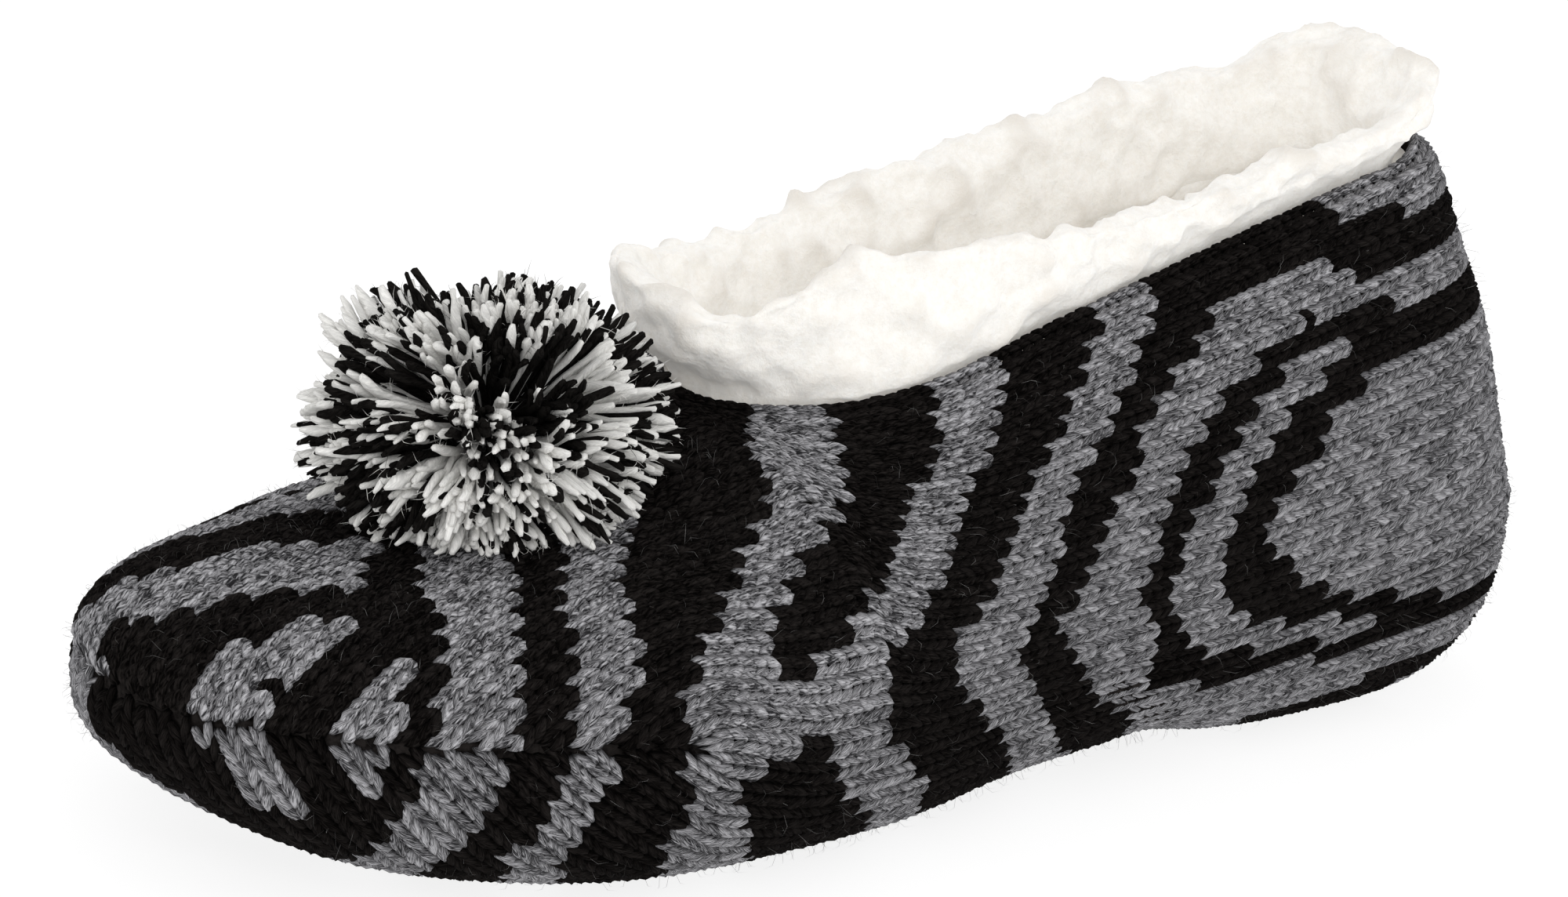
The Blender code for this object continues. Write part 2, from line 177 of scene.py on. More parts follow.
# Grey bands of the stripe pattern, read along the shoe at levels of the section: -1 is the middle
# of the underside, 0 the seam line and 1 the rim or the ridge. Between a band's two ends it is grey.
Row = namedtuple("Row", "level start end")
Band = namedtuple("Band", "sides rows")
NEAR = (-1,)
FAR = (1,)
BOTH = (-1, 1)
BANDS = (
    Band(NEAR, (Row(0.8, 23, 29), Row(0.9, 19, 34), Row(1.0, 11, 40))),
    Band(FAR, (
        Row(-1.0, 9, 17), Row(-0.5, 5, 12), Row(-0.25, 3, 10), Row(0.0, 1.5, 8.5), Row(0.3, 1, 9),
        Row(0.45, 4, 12), Row(0.6, 5, 15), Row(0.7, 5, 18), Row(0.8, 6, 28), Row(0.9, 8, 34),
        Row(1.0, 11, 40),
    )),
    Band(NEAR, (
        Row(-0.4, 5, 9), Row(-0.3, 3, 9.5), Row(-0.2, 2, 8), Row(-0.1, 1, 5.5), Row(0.3, 0.5, 5.5),
        Row(0.4, 1, 10), Row(0.5, 1.5, 16), Row(0.6, 2, 21), Row(0.67, 3, 21),
    )),
    Band(NEAR, (
        Row(-0.16, 13, 15), Row(-0.1, 11, 14.5), Row(0.0, 9.5, 15), Row(0.1, 10.5, 15.5), Row(0.2, 11, 18),
        Row(0.3, 14, 20.5), Row(0.4, 20, 23),
    )),
    Band(NEAR, (
        Row(-1.0, 30, 42), Row(-0.6, 20, 31), Row(-0.3, 16, 24), Row(-0.1, 18, 27), Row(0.0, 19, 29),
        Row(0.1, 20, 31), Row(0.2, 22.5, 32), Row(0.3, 25, 35), Row(0.4, 28, 38), Row(0.5, 30, 42),
        Row(0.6, 33, 45), Row(0.7, 34, 47), Row(1.0, 46, 58),
    )),
    Band(FAR, (
        Row(-1.0, 30, 42), Row(-0.6, 18, 30), Row(-0.2, 12, 22), Row(0.1, 13, 25), Row(0.3, 17, 31),
        Row(0.4, 20, 38), Row(0.5, 27, 46), Row(0.6, 38, 51), Row(0.8, 44, 55), Row(1.0, 46, 58),
    )),
    Band(BOTH, (
        Row(-1.0, 58, 71), Row(-0.6, 42, 54), Row(-0.25, 32, 40), Row(-0.1, 34.5, 41), Row(0.0, 37, 43.5),
        Row(0.1, 38, 45), Row(0.2, 39.5, 48), Row(0.3, 42, 51), Row(0.4, 45, 54), Row(0.5, 48, 57),
        Row(0.6, 51, 62), Row(0.7, 56, 69), Row(1.0, 72, 83),
    )),
    Band(BOTH, (
        Row(-1.0, 90, 104), Row(-0.6, 70, 86), Row(-0.22, 54, 68), Row(-0.15, 53, 66), Row(-0.05, 54, 62),
        Row(0.05, 53, 68), Row(0.2, 55, 70), Row(0.3, 62, 72), Row(0.4, 69, 82), Row(0.5, 78, 92),
        Row(0.6, 85, 94), Row(0.7, 90, 97), Row(0.85, 92, 100), Row(1.0, 95, 103),
    )),
    Band(BOTH, (Row(0.04, 53, 92), Row(0.1, 53, 90), Row(0.2, 56, 92))),
    Band(BOTH, (
        Row(-1.0, 124, 138), Row(-0.6, 108, 121), Row(-0.2, 91, 103), Row(-0.15, 88, 103),
        Row(-0.05, 82, 97), Row(0.05, 78, 91), Row(0.2, 80, 92), Row(0.27, 88, 97), Row(0.4, 95, 105),
        Row(0.5, 98, 110), Row(0.65, 105, 116), Row(0.8, 112, 123), Row(0.95, 117, 130), Row(1.0, 119, 132),
    )),
    Band(BOTH, (
        Row(-1.0, 156, 170), Row(-0.6, 140, 154), Row(-0.25, 125, 137), Row(-0.15, 122, 133),
        Row(-0.05, 117, 128), Row(0.05, 112, 125), Row(0.15, 105, 121), Row(0.25, 107, 125),
        Row(0.35, 117, 130), Row(0.5, 122, 133), Row(0.6, 126, 138), Row(0.7, 133, 144),
        Row(0.8, 138, 150), Row(0.88, 143, 155), Row(1.0, 151, 162),
    )),
    Band(BOTH, (
        Row(-0.1, 140, 152), Row(0.0, 137, 150), Row(0.1, 133, 150), Row(0.2, 130, 147),
        Row(0.3, 137, 150), Row(0.45, 142, 153), Row(0.55, 147, 160), Row(0.65, 150, 166),
        Row(0.75, 158, 184), Row(0.8, 163, 200), Row(0.84, 166, 196), Row(0.88, 169, 190),
        Row(0.91, 172, 186),
    )),
    Band(BOTH, (
        Row(0.65, 222, 300), Row(0.69, 206, 300), Row(0.73, 192, 300), Row(0.775, 182, 300),
        Row(0.8, 182, 222),
    )),
    Band(BOTH, (
        Row(-1.0, 188, 203), Row(-0.6, 168, 185), Row(-0.4, 156, 178), Row(-0.32, 152, 228),
        Row(-0.25, 150, 236), Row(-0.2, 150, 190), Row(-0.15, 145, 165), Row(-0.1, 140, 152),
    )),
    Band(BOTH, (
        Row(-0.15, 190, 200), Row(-0.12, 182, 199), Row(-0.07, 168, 190), Row(0.0, 158, 173),
        Row(0.1, 155, 165), Row(0.2, 153, 163), Row(0.35, 157, 167), Row(0.45, 163, 172),
        Row(0.55, 170, 181), Row(0.63, 176, 193), Row(0.68, 187, 198),
    )),
    Band(BOTH, (
        Row(-0.14, 216, 300), Row(-0.05, 196, 300), Row(0.05, 184, 300), Row(0.18, 175, 300),
        Row(0.28, 172, 300), Row(0.4, 183, 300), Row(0.5, 190, 300), Row(0.54, 198, 300),
        Row(0.58, 206, 222),
    )),
    Band(BOTH, (Row(0.905, 216, 300), Row(0.94, 204, 300), Row(1.0, 195, 300))),
    Band(BOTH, (Row(-1.0, 222, 236), Row(-0.6, 214, 234), Row(-0.45, 218, 230))),
)

# Hollows and swellings pressed into the knit: two ends of a line on the shoe, how wide and how deep
Crease = namedtuple("Crease", "sides start_station start_level end_station end_level width depth")
CREASES = (
    Crease(BOTH, 96.0, 0.9, 118.0, 0.45, 9.0, 0.9),
    Crease(NEAR, 68.0, 0.72, 86.0, 0.5, 7.0, 0.7),
    Crease(BOTH, 146.0, -0.1, 166.0, -0.45, 7.0, 1.1),
    Crease(BOTH, 196.0, 0.82, 232.0, 0.74, 8.0, 0.8),
    Crease(NEAR, 34.0, 0.32, 58.0, 0.2, 14.0, -0.7),
    Crease(BOTH, 172.0, 0.35, 208.0, 0.2, 16.0, -0.8),
    Crease(FAR, 60.0, 0.4, 84.0, 0.62, 8.0, 0.7),
)
BACK_SEAM_WIDTH = 2.2
BACK_SEAM_DEPTH = 0.9
UNEVEN_DEPTH = 0.35
UNEVEN_SIZE = 26.0

# Finish of the yarn and of the cloth: streaks, spread of tone from stitch to stitch, painted shade in the
# grooves between stitch legs, grain and relief
STREAK_LENGTH = 0.7
STREAK_WIDTH = 3.2
STREAK_EDGES = (0.41, 0.66)
YARN_TWIST = 0.45
YARN_BUMP = 0.0003
TONE_SPREAD = 0.05
PAINTED_LIGHT_EDGES = (0.3, 0.85)
GRAIN_EDGES = (0.35, 0.6)
FLEECE_GRAIN = 700.0
FLEECE_BUMP = 0.0008
BACKING_GRAIN = 600.0
BACKING_BUMP = 0.0003
BUMP_STRENGTH = 0.5

# Seeds of each piece's own random draws
UPPER_SEED = 11
RIM_SEED = 15
SOLE_SEED = 21
POMPOM_SEED = 41
FUZZ_SEED = 51

# Fleece collar: its section, inward from the rim and up from it, as in the part's source
CuffCorner = namedtuple("CuffCorner", "inward up share_of_height pile")
CUFF_SECTION = (
    CuffCorner(5.5, -8.0, 0.0, 0.3),
    CuffCorner(4.6, -6.0, 0.0, 0.3),
    CuffCorner(4.4, -2.5, 0.0, 0.3),
    CuffCorner(3.6, -0.6, 0.0, 0.4),
    CuffCorner(2.2, 1.2, 0.0, 0.7),
    CuffCorner(1.1, 0.0, 0.35, 0.85),
    CuffCorner(0.9, 0.0, 0.65, 1.0),
    CuffCorner(2.4, 0.0, 0.92, 1.0),
    CuffCorner(5.2, 0.0, 1.0, 1.0),
    CuffCorner(8.2, 0.0, 0.92, 1.0),
    CuffCorner(10.0, 0.0, 0.6, 1.0),
    CuffCorner(10.0, 0.0, 0.1, 1.0),
    CuffCorner(8.5, -6.0, 0.0, 0.6),
)

# How tall the collar stands along each side, and how far its top leans out of the opening
CuffRise = namedtuple("CuffRise", "station near far near_lean far_lean")
CUFF_RISES = (
    CuffRise(THROAT, 13.0, 18.5, 8.0, 10.5),
    CuffRise(99.0, 18.0, 17.0, 2.5, 8.5),
    CuffRise(107.0, 20.5, 14.5, -2.5, 5.5),
    CuffRise(116.0, 20.0, 13.0, -2.0, 4.0),
    CuffRise(128.0, 17.6, 12.5, 0.5, 3.0),
    CuffRise(140.0, 15.0, 12.5, 1.5, 2.5),
    CuffRise(160.0, 11.5, 12.5, 1.0, 1.8),
    CuffRise(190.0, 9.2, 12.5, 1.0, 1.8),
    CuffRise(215.0, 8.5, 10.5, 2.0, 3.0),
    CuffRise(LENGTH, 13.0, 14.0, 4.5, 5.0),
)
CUFF_BLEND = 14.0
LEAN_BELOW = 0.6
CUFF_STEPS = 440
CUFF_TURNS = 64

# Lumps of the pile, coarse to fine: size of a lump and how far it stands out
Lump = namedtuple("Lump", "size height")
PILE_SINK = 4.7
PILE_LUMPS = (Lump(18.0, 2.2), Lump(8.5, 3.0), Lump(4.4, 2.2), Lump(2.6, 0.9))
LUMP_SOFTNESS = 9.0
# Painted shade in the pile's hollows: the percentiles of depth at which it is full and at which it fades
# out
HOLLOW_SHARES = (1, 32)

# Footbed and lining
INSOLE_START = 16.0
INSOLE_END = 233.0
INSOLE_REACH = 0.66
INSOLE_THICKNESS = 5.0
INSOLE_GAP = 0.7
FOOTBED_STEPS = 110
FOOTBED_TURNS = 26
FOOTBED_SINK = 1.0
FOOTBED_EDGE = 6
LINING_INSET = 4.2
LINING_CLOTH = 0.4
LINING_PILE = 1.6
LINING_STEPS = 130
LINING_TURNS = 34
LINING_FOOT = -1.0
LINING_CLOSE = 205.0
LINING_START = 7.0
LINING_END = LENGTH

# Backing behind the stitches
BACKING_INSET = 1.5
BACKING_LAP = -0.1
BACKING_STEPS = 120
BACKING_TURNS = 24

# Pompom
POMPOM_STATION = 57.5
POMPOM_RISE = 9.0
STRAND_RINGS = (
    Ring(0.12, 0.8), Ring(0.4, 0.95), Ring(0.64, 1.0), Ring(0.82, 1.08), Ring(0.94, 1.12), Ring(1.0, 0.7),
)
STRAND_SIDES = 5
STRAND_RADIUS = 0.56
STRAND_UNEVEN = 0.2
STRAND_END = 0.4
# Painted shade: strands darken toward their roots deep in the ball, from this share of painted light at the
# root to full at the tip
STRAND_SHADE = 0.5
STRAND_LOWEST = -0.78
STRAND_STRAY = 0.035
STRAND_LEAN = 1.3
STRAND_WAVE = 1.0
STRAND_WAVES = 8.0
STRAND_TUFTS = 110
TUFT_STRAY = 0.12
TUFT_PULL = 0.42
TUFT_LEAN = 2.3
TUFT_REACH = (0.9, 1.06)
STRAND_REACH = (0.93, 1.04)
COLOUR_GROUPS = 900
PALE_TOWARD = (-0.55, -0.3, 0.78)
PALE_GAIN = 0.12
LONG_SHARE = 0.012
LONG_REACH = 1.13
STRAND_VARIATION = (0.85, 1.15)
BLACK_SHEEN = 4
WHITE_SHADE = 0.72
GOLDEN_SHARE = 3 - math.sqrt(5)
TIP_FIBRES = 3
FIBRE_RADIUS = 0.04
FIBRE_SPREAD = 0.7
FIBRE_LEAN = 0.6
FIBRE_CURL = 1.4
FIBRE_LENGTH = (0.8, 1.8)
FIBRE_END = (0.5, 1.8)

# The ball is parted across its near front: the direction it opens to, and the angles, measured
# down from its top, that strands leave free
PART_TOWARD = (-0.67, -0.74, 0.0)
PART_START = math.radians(24.0)
PART_END = math.radians(59.0)
PART_MIDDLE = math.radians(42.0)
PART_STRAY = 0.1

# Loose hairs of the knit: where they stand, how long they are and how they rise and lean
FUZZ_STATIONS = (2, LENGTH - 3)
FUZZ_LEVELS = (-0.42, 0.96)
FUZZ_LENGTH = (0.8, 3.0)
FUZZ_ROOT = 0.6
FUZZ_BEND = 0.4
FUZZ_RISE = 0.5
FUZZ_LOWEST = 0.1
FUZZ_RADIUS = 0.02
HAIR_TAPER = 0.25
FUZZ_DARK = (0.02, 0.019, 0.018)
FUZZ_LIGHT = (0.3, 0.295, 0.29)

# Stage, in metres: the floor, the lamps round the slipper and what the camera looks at
Lamp = namedtuple("Lamp", "name place size power")
LAMPS = (
    Lamp("key", (-0.9, -1.3, 0.75), 0.9, 8.0),
    Lamp("fill", (1.0, -0.8, 0.7), 1.0, 0.8),
    Lamp("back", (0.3, 1.1, 1.0), 0.9, 0.6),
)
FLOOR_SIZE = 8
SKY_STRENGTH = 0.84
AIM_HEIGHT = 0.03
AIM_LEFT = 0.00647
AIM_UP = 0.01452
SENSOR_WIDTH = 36
CLIP_END = 20


def smooth_rows(rows, column, station):
    """Hermite curve through one named column of a table, with three-point slopes."""
    at = np.array([row.station for row in rows])
    value = np.array([getattr(row, column) for row in rows])
    step = np.diff(at)
    rise = np.diff(value) / step
    slope = np.empty_like(value)
    slope[0], slope[-1] = rise[0], rise[-1]
    slope[1:-1] = (rise[:-1] * step[1:] + rise[1:] * step[:-1]) / (at[2:] - at[:-2])
    station = np.clip(station, at[0], at[-1])
    row = np.clip(np.searchsorted(at, station, side="right") - 1, 0, len(step) - 1)
    t = (station - at[row]) / step[row]
    start = (1 + 2 * t) * (1 - t) ** 2 * value[row] + t * (1 - t) ** 2 * step[row] * slope[row]
    end = t * t * (3 - 2 * t) * value[row + 1] + t * t * (t - 1) * step[row] * slope[row + 1]
    return start + end


def along(column, station):
    """Smooth value of one column of SECTIONS at the given stations."""
    return smooth_rows(SECTIONS, column, station)


def end_round(distance, shape):
    """Share of the full size at a distance from an end: 0 at the tip, 1 past its reach."""
    left = np.clip(1 - np.maximum(distance, 0) / shape.reach, 0, 1)
    return (1 - left ** shape.power) ** (1 / shape.power)


def half_width(station):
    """Half width of the last at its seam line."""
    ends = end_round(station, TOE_PLAN) * end_round(LENGTH - station, HEEL_PLAN)
    return along("half_width", station) * ends


def ridge_height(station):
    """Height of the last's ridge above the floor, as if the collar were closed over."""
    side = along("side_height", station)
    ends = end_round(station, TOE_TOP) * end_round(LENGTH - station, HEEL_TOP)
    return side + (along("ridge_height", station) - side) * ends


def under_height(station):
    """Height of the underside's middle line before it is pressed flat on the floor."""
    side = along("side_height", station)
    spring = TOE_SPRING * np.clip(1 - station / SPRING_REACH, 0, 1) ** 2
    arch = ARCH_RISE * np.exp(-((station - ARCH_STATION) / ARCH_SPREAD) ** 2)
    ends = end_round(station, TOE_UNDER) * end_round(LENGTH - station, HEEL_UNDER)
    return side - (side + FLAT_SINK - spring - arch) * ends


def rim_half_width(station):
    """Half width of the collar opening, 0 in front of the throat and behind the back rim."""
    ends = end_round(station - THROAT, THROAT_ROUND) * end_round(BACK_RIM - station, BACK_ROUND)
    return RIM_SHARE * along("half_width", station) * ends


def rim_turn(station):
    """Section angle of the rim: a right angle where the ridge closes over."""
    share = rim_half_width(station) / np.maximum(half_width(station), GAP)
    return np.arccos(np.clip(share, 0, 1) ** (UPPER_POWER / 2))


def rim_height(station):
    """Height of the rim line, carried on round the heel as if the back were not round."""
    side = along("side_height", station)
    share = (1 - RIM_SHARE ** UPPER_POWER) ** (1 / UPPER_POWER)
    return side + (along("ridge_height", station) - side) * share


def heel_lean(station, height):
    """How far the back of the heel leans forward at a height above the seam line."""
    side = along("side_height", station)
    rise = np.clip((height - side) / (LEAN_HEIGHT - side), 0, LEAN_LIMIT)
    back = np.clip((station - LEAN_START) / (LENGTH - LEAN_START), 0, 1)
    return HEEL_LEAN * back ** LEAN_BACK_POWER * rise ** LEAN_RISE_POWER


def skin(station, turn):
    """Points of the knit's outer face on +Y: turn runs from straight down to straight up."""
    station, turn = np.broadcast_arrays(station, turn)
    side = along("side_height", station)
    crown = ridge_height(station) - side
    power = np.where(turn < 0, SOLE_POWER, UPPER_POWER)
    out = half_width(station) * np.abs(np.cos(turn)) ** (2 / power)
    up = np.abs(np.sin(turn)) ** (2 / power)
    height = np.where(turn < 0, side - (side - under_height(station)) * up, side + crown * up)
    height = np.maximum(height, 0)
    forward = station - LENGTH / 2 - heel_lean(station, height)
    return np.stack([forward, out, height], -1)


def skin_normal(station, turn):
    """Outward direction of the knit's outer face on +Y."""
    station, turn = np.broadcast_arrays(station, turn)
    step = NORMAL_STEP
    angle = NORMAL_ANGLE
    inside = np.clip(station, step * 2, LENGTH - step * 2)
    bent = np.where(turn < 0, np.clip(turn, -math.pi / 2 + angle, -angle), turn)
    bent = np.where(turn >= 0, np.clip(bent, angle, math.pi / 2 - angle), bent)
    forward = skin(inside + step, bent) - skin(inside - step, bent)
    around = skin(inside, bent + angle / 2) - skin(inside, bent - angle / 2)
    normal = np.cross(around, forward)
    middle = np.abs(np.abs(turn) - math.pi / 2) < angle
    normal[middle, 1] = 0
    normal[np.abs(turn) < angle, 2] = 0
    normal /= np.maximum(np.linalg.norm(normal, axis=-1, keepdims=True), TINY)
    normal[station <= 0] = (-1, 0, 0)
    normal[station >= LENGTH] = (1, 0, 0)
    return normal


def eased(start, end, steps):
    """Stations from start to end, closer together near both ends."""
    return start + (end - start) * (0.5 - 0.5 * np.cos(np.linspace(0, math.pi, steps + 1)))


def run_length(points):
    """Length run along a path at each of its points."""
    return np.concatenate([[0], np.cumsum(np.linalg.norm(np.diff(points, axis=0), axis=1))])


def seam_turn(station):
    """Section angle of the toe seam, 0 where it has faded out."""
    left = np.clip((SEAM_FADE_END - station) / (SEAM_FADE_END - SEAM_FADE_START), 0, 1)
    return SEAM_LIFT * left * left * (3 - 2 * left)


class GirthTable:
    """Section angle for a share of the way round a half section, so wales keep even spaces."""

    def __init__(self, upper, first_turn):
        steps = np.linspace(0, 1, GIRTH_STEPS) ** GIRTH_EASE
        self.stations = eased(0.0, LENGTH, GIRTH_STATIONS)
        self.shares = np.linspace(0, 1, GIRTH_SHARES)
        self.turns = np.empty((len(self.stations), len(self.shares)))
        for row, station in enumerate(self.stations):
            first = first_turn(station)
            last = rim_turn(station) if upper else -math.pi / 2
            turns = first + (last - first) * steps
            points = skin(np.full(len(steps), station), turns)
            run = run_length(points)
            self.turns[row] = np.interp(self.shares, run / max(run[-1], TINY), turns)

    def turn(self, station, share):
        """Section angle at stations and shares, from 0 at the seam line to 1 at the rim or middle."""
        row = np.clip(np.searchsorted(self.stations, station) - 1, 0, len(self.stations) - 2)
        place = share * (len(self.shares) - 1)
        column = np.clip(place.astype(int), 0, len(self.shares) - 2)
        a = (station - self.stations[row]) / (self.stations[row + 1] - self.stations[row])
        b = place - column
        low = (1 - b) * self.turns[row, column] + b * self.turns[row, column + 1]
        high = (1 - b) * self.turns[row + 1, column] + b * self.turns[row + 1, column + 1]
        return (1 - a) * low + a * high

    def share(self, station, turn):
        """Share of the way round at stations and section angles."""
        row = np.clip(np.searchsorted(self.stations, station), 0, len(self.stations) - 1)
        turns = np.abs(self.turns[row])
        column = np.clip((turns <= np.abs(turn)[:, None]).sum(1) - 1, 0, len(self.shares) - 2)
        place = np.arange(len(row))
        low, high = turns[place, column], turns[place, column + 1]
        within = np.clip((np.abs(turn) - low) / np.maximum(high - low, TINY), 0, 1)
        return self.shares[column] + within * self.shares[1]


GIRTHS = {upper: GirthTable(upper, seam_turn) for upper in (True, False)}
LEVELS = {upper: GirthTable(upper, np.zeros_like) for upper in (True, False)}


def level_at(station, turn):
    """Level of the stripe pattern: 0 on the widest line, 1 at the rim and -1 in the middle underneath."""
    return np.where(turn >= 0, LEVELS[True].share(station, turn), -LEVELS[False].share(station, turn))


def seam_shares():
    """Stations along the toe seam and the share of its length run at each."""
    stations = FAN_END * np.linspace(0, 1, FAN_SAMPLES) ** 2
    points = skin(stations, seam_turn(stations))
    run = run_length(points)
    return stations, run / run[-1]


SEAM_STATIONS, SEAM_SHARES = seam_shares()
SEAM_LINE = skin(SEAM_STATIONS, seam_turn(SEAM_STATIONS))

# One column of stitches from the toe seam to the back seam: its points, directions, length run,
# place along the shoe and level round the section
Wale = namedtuple("Wale", "points normals run chart level")


def wale_front(upper, share_at_heel):
    """Stations and angles of a wale from the toe seam to the start of the heel."""
    first = np.interp(1 - share_at_heel ** (1 / FAN_POWER), SEAM_SHARES, SEAM_STATIONS)
    station = first + (HEEL_START - first) * np.linspace(0, 1, FRONT_SAMPLES) ** 2
    fan = (1 - np.interp(station, SEAM_STATIONS, SEAM_SHARES)) ** FAN_POWER
    share = np.clip((share_at_heel - fan) / np.maximum(1 - fan, TINY), 0, 1)
    return station, GIRTHS[upper].turn(station, share)


def wale_heel(upper, start):
    """Stations and angles of a wale from the start of the heel round to the back seam."""
    grid = np.linspace(HEEL_START, LENGTH, HEEL_GRID)
    side = along("side_height", grid)
    if upper:
        level = (start[2] - side[0]) / (rim_height(HEEL_START) - side[0])
        rise = level * (rim_height(grid) - side) / np.maximum(ridge_height(grid) - side, TINY)
        power = UPPER_POWER
    else:
        level = (side[0] - start[2]) / side[0]
        rise = level * side / np.maximum(side - under_height(grid), TINY)
        power = -SOLE_POWER
    over = np.nonzero(rise >= 1)[0]
    end = grid[over[0]] if len(over) else LENGTH
    station = end - (end - HEEL_START) * (1 - np.linspace(0, 1, HEEL_SAMPLES)[1:]) ** 2
    rise = np.clip(np.interp(station, grid, rise), 0, 1)
    rise[-1] = 1
    return station, np.sign(power) * np.arcsin(rise ** (abs(power) / 2))


def wale_under_heel(start):
    """Stations and angles of a wale of the underside, straight back until the heel turns up."""
    station = np.linspace(HEEL_START, LENGTH, HEEL_SAMPLES)[1:]
    share = np.clip(start[1] / np.maximum(half_width(station), TINY), 0, 1)
    turn = -np.arccos(share ** (SOLE_POWER / 2))
    high = np.nonzero(skin(station, turn)[:, 2] > BOTTOM_EDGE)[0]
    keep = max(high[0] if len(high) else len(station), 1)
    return station[:keep], turn[:keep]


@functools.cache
def wale_half(upper, share_at_heel):
    """The whole of one wale on +Y."""
    station, turn = wale_front(upper, share_at_heel)
    start = skin(station[-1], turn[-1])
    if upper or start[2] > BOTTOM_EDGE:
        back, back_turn = wale_heel(upper, start)
    else:
        back, back_turn = wale_under_heel(start)
    stations = np.concatenate([station, back])
    turns = np.concatenate([turn, back_turn])
    points = skin(stations, turns)
    normals = skin_normal(stations, turns)
    run = run_length(points)
    front = len(station)
    chart = np.concatenate([station, HEEL_START + run[front:] - run[front - 1]])
    heel_level = share_at_heel if upper else -share_at_heel
    level = np.concatenate([level_at(station, turn), np.full(len(back), heel_level)])
    return Wale(points, normals, run, chart, level)


def wale_path(upper, share_at_heel, side):
    """The whole of one wale on one side of the shoe."""
    half = wale_half(upper, min(max(share_at_heel, TINY), 1))
    flip = np.array([1, side, 1])
    return half._replace(points=half.points * flip, normals=half.normals * flip)


def with_tail(path):
    """Points of a wale carried straight on past its start, to measure the space beside them."""
    way = unit(path.points[TAIL_SAMPLE] - path.points[0])
    tail = np.linspace(TAIL_LENGTH, 0, TAIL_POINTS, endpoint=False)
    return np.concatenate([path.points[0] - way * tail[:, None], path.points])


def stripe(chart, level, side):
    """1 where the stripe pattern is grey and 0 where it is black."""
    grey = np.zeros(len(chart))
    for band in BANDS:
        if side not in band.sides:
            continue
        levels = [row.level for row in band.rows]
        start = np.interp(level, levels, [row.start for row in band.rows])
        end = np.interp(level, levels, [row.end for row in band.rows])
        inside = (level >= levels[0]) & (level <= levels[-1]) & (chart >= start) & (chart <= end)
        grey[inside] = 1
    return grey


def relief(points, chart, level, side):
    """How far the knit stands out from the last: creases, the back seam and slow unevenness."""
    out = np.zeros(len(chart))
    for crease in CREASES:
        if side not in crease.sides:
            continue
        start = np.array([crease.start_station, crease.start_level * GIRTH])
        run = np.array([crease.end_station, crease.end_level * GIRTH]) - start
        here = np.stack([chart, level * GIRTH], -1) - start
        share = np.clip(here @ run / (run @ run), 0, 1)
        away = np.linalg.norm(here - share[:, None] * run, axis=1)
        out -= crease.depth * np.exp(-(away / crease.width) ** 2)
    at_back = points[:, 0] > LENGTH / 2 - HEEL_LEAN * 2
    out -= at_back * BACK_SEAM_DEPTH * np.exp(-(points[:, 1] / BACK_SEAM_WIDTH) ** 2)
    slow = np.array([noise.noise(Vector(point / UNEVEN_SIZE)) for point in points])
    return out + UNEVEN_DEPTH * slow


# All stitches of one half: where each sits, its directions, how its wale bends there, the room before
# it and after it on the wale, the width of the wale and the stitch's colour
Stitches = namedtuple("Stitches", "points along across out bend before after width grey")


def wale_stitches(upper, side, order, count, course):
    """Stitches along one wale of so many, as wide as the space between its neighbours."""
    path = wale_path(upper, (order + 0.5) / count, side)
    edges = [with_tail(wale_path(upper, edge / count, side)) for edge in (order, order + 1)]
    origin = np.interp(COURSE_ORIGIN, path.chart, path.run)
    first = math.ceil((course * FIRST_STITCH - origin) / course)
    last = math.floor((path.run[-1] - course * LAST_STITCH - origin) / course)
    at = origin + course * np.arange(first, last + 1)
    points = follow(path.run, path.points, at)
    chart = np.interp(at, path.run, path.chart)
    width = sum(nearest(points, edge) for edge in edges)
    width[chart > HEEL_START] = width[chart <= HEEL_START][-1]
    out = unit(follow(path.run, path.normals, at))
    middle = np.clip(at, course, path.run[-1] - course)
    ahead_of, here, behind = [follow(path.run, path.points, middle + step) for step in (course, 0, -course)]
    bend = (ahead_of + behind - 2 * here) / course ** 2
    ahead = ahead_of - behind
    ahead = unit(ahead - out * np.sum(ahead * out, -1, keepdims=True))
    level = np.interp(at, path.run, path.level)
    grey = stripe(chart, level, side)
    lift = relief(points, chart, level, side) - STITCH_INSET + (GAP if upper else 0)
    points = points + out * lift[:, None]
    before, after = at + LEG_OVERRUN, path.run[-1] - at + LEG_OVERRUN
    across = np.cross(out, ahead)
    return Stitches(points, ahead, across, out, bend, before, after, np.maximum(width, course), grey)


def lay_stitches(upper, side, wales, course):
    """Stitches of one half of the upper or of the sole."""
    parts = [wale_stitches(upper, side, order, wales, course) for order in range(wales)]
    return Stitches(*[np.concatenate(column) for column in zip(*parts)])


def rim_stitches(course):
    """A chain of stitches round the collar's rim, turned up over its edge."""
    station, points, inward = rim_loop(RIM_SAMPLES)
    steps = round(np.linalg.norm(np.diff(points, axis=0), axis=1).sum() / course)
    points, station, inward = even_loop(points, (station, inward), steps)
    station = station[:, 0]
    side = np.where(points[:, 1] < 0, -1, 1)
    out = unit(np.array([0, 0, 1]) - RIM_LEAN * unit(inward))
    ahead = np.roll(points, -1, 0) - np.roll(points, 1, 0)
    ahead *= np.sign(ahead[:, :1])
    ahead = unit(ahead - out * np.sum(ahead * out, -1, keepdims=True))
    level = np.full(steps, RIM_LEVEL)
    grey = np.where(side < 0, stripe(station, level, -1), stripe(station, level, 1))
    points = points + unit(inward) * RIM_INWARD - out * RIM_SINK
    bend = (np.roll(points, -1, 0) + np.roll(points, 1, 0) - 2 * points) / course ** 2
    across = np.cross(out, ahead)
    room = np.full(steps, TAIL_LENGTH)
    return Stitches(points, ahead, across, out, bend, room, room, np.full(steps, RIM_WIDTH), grey)


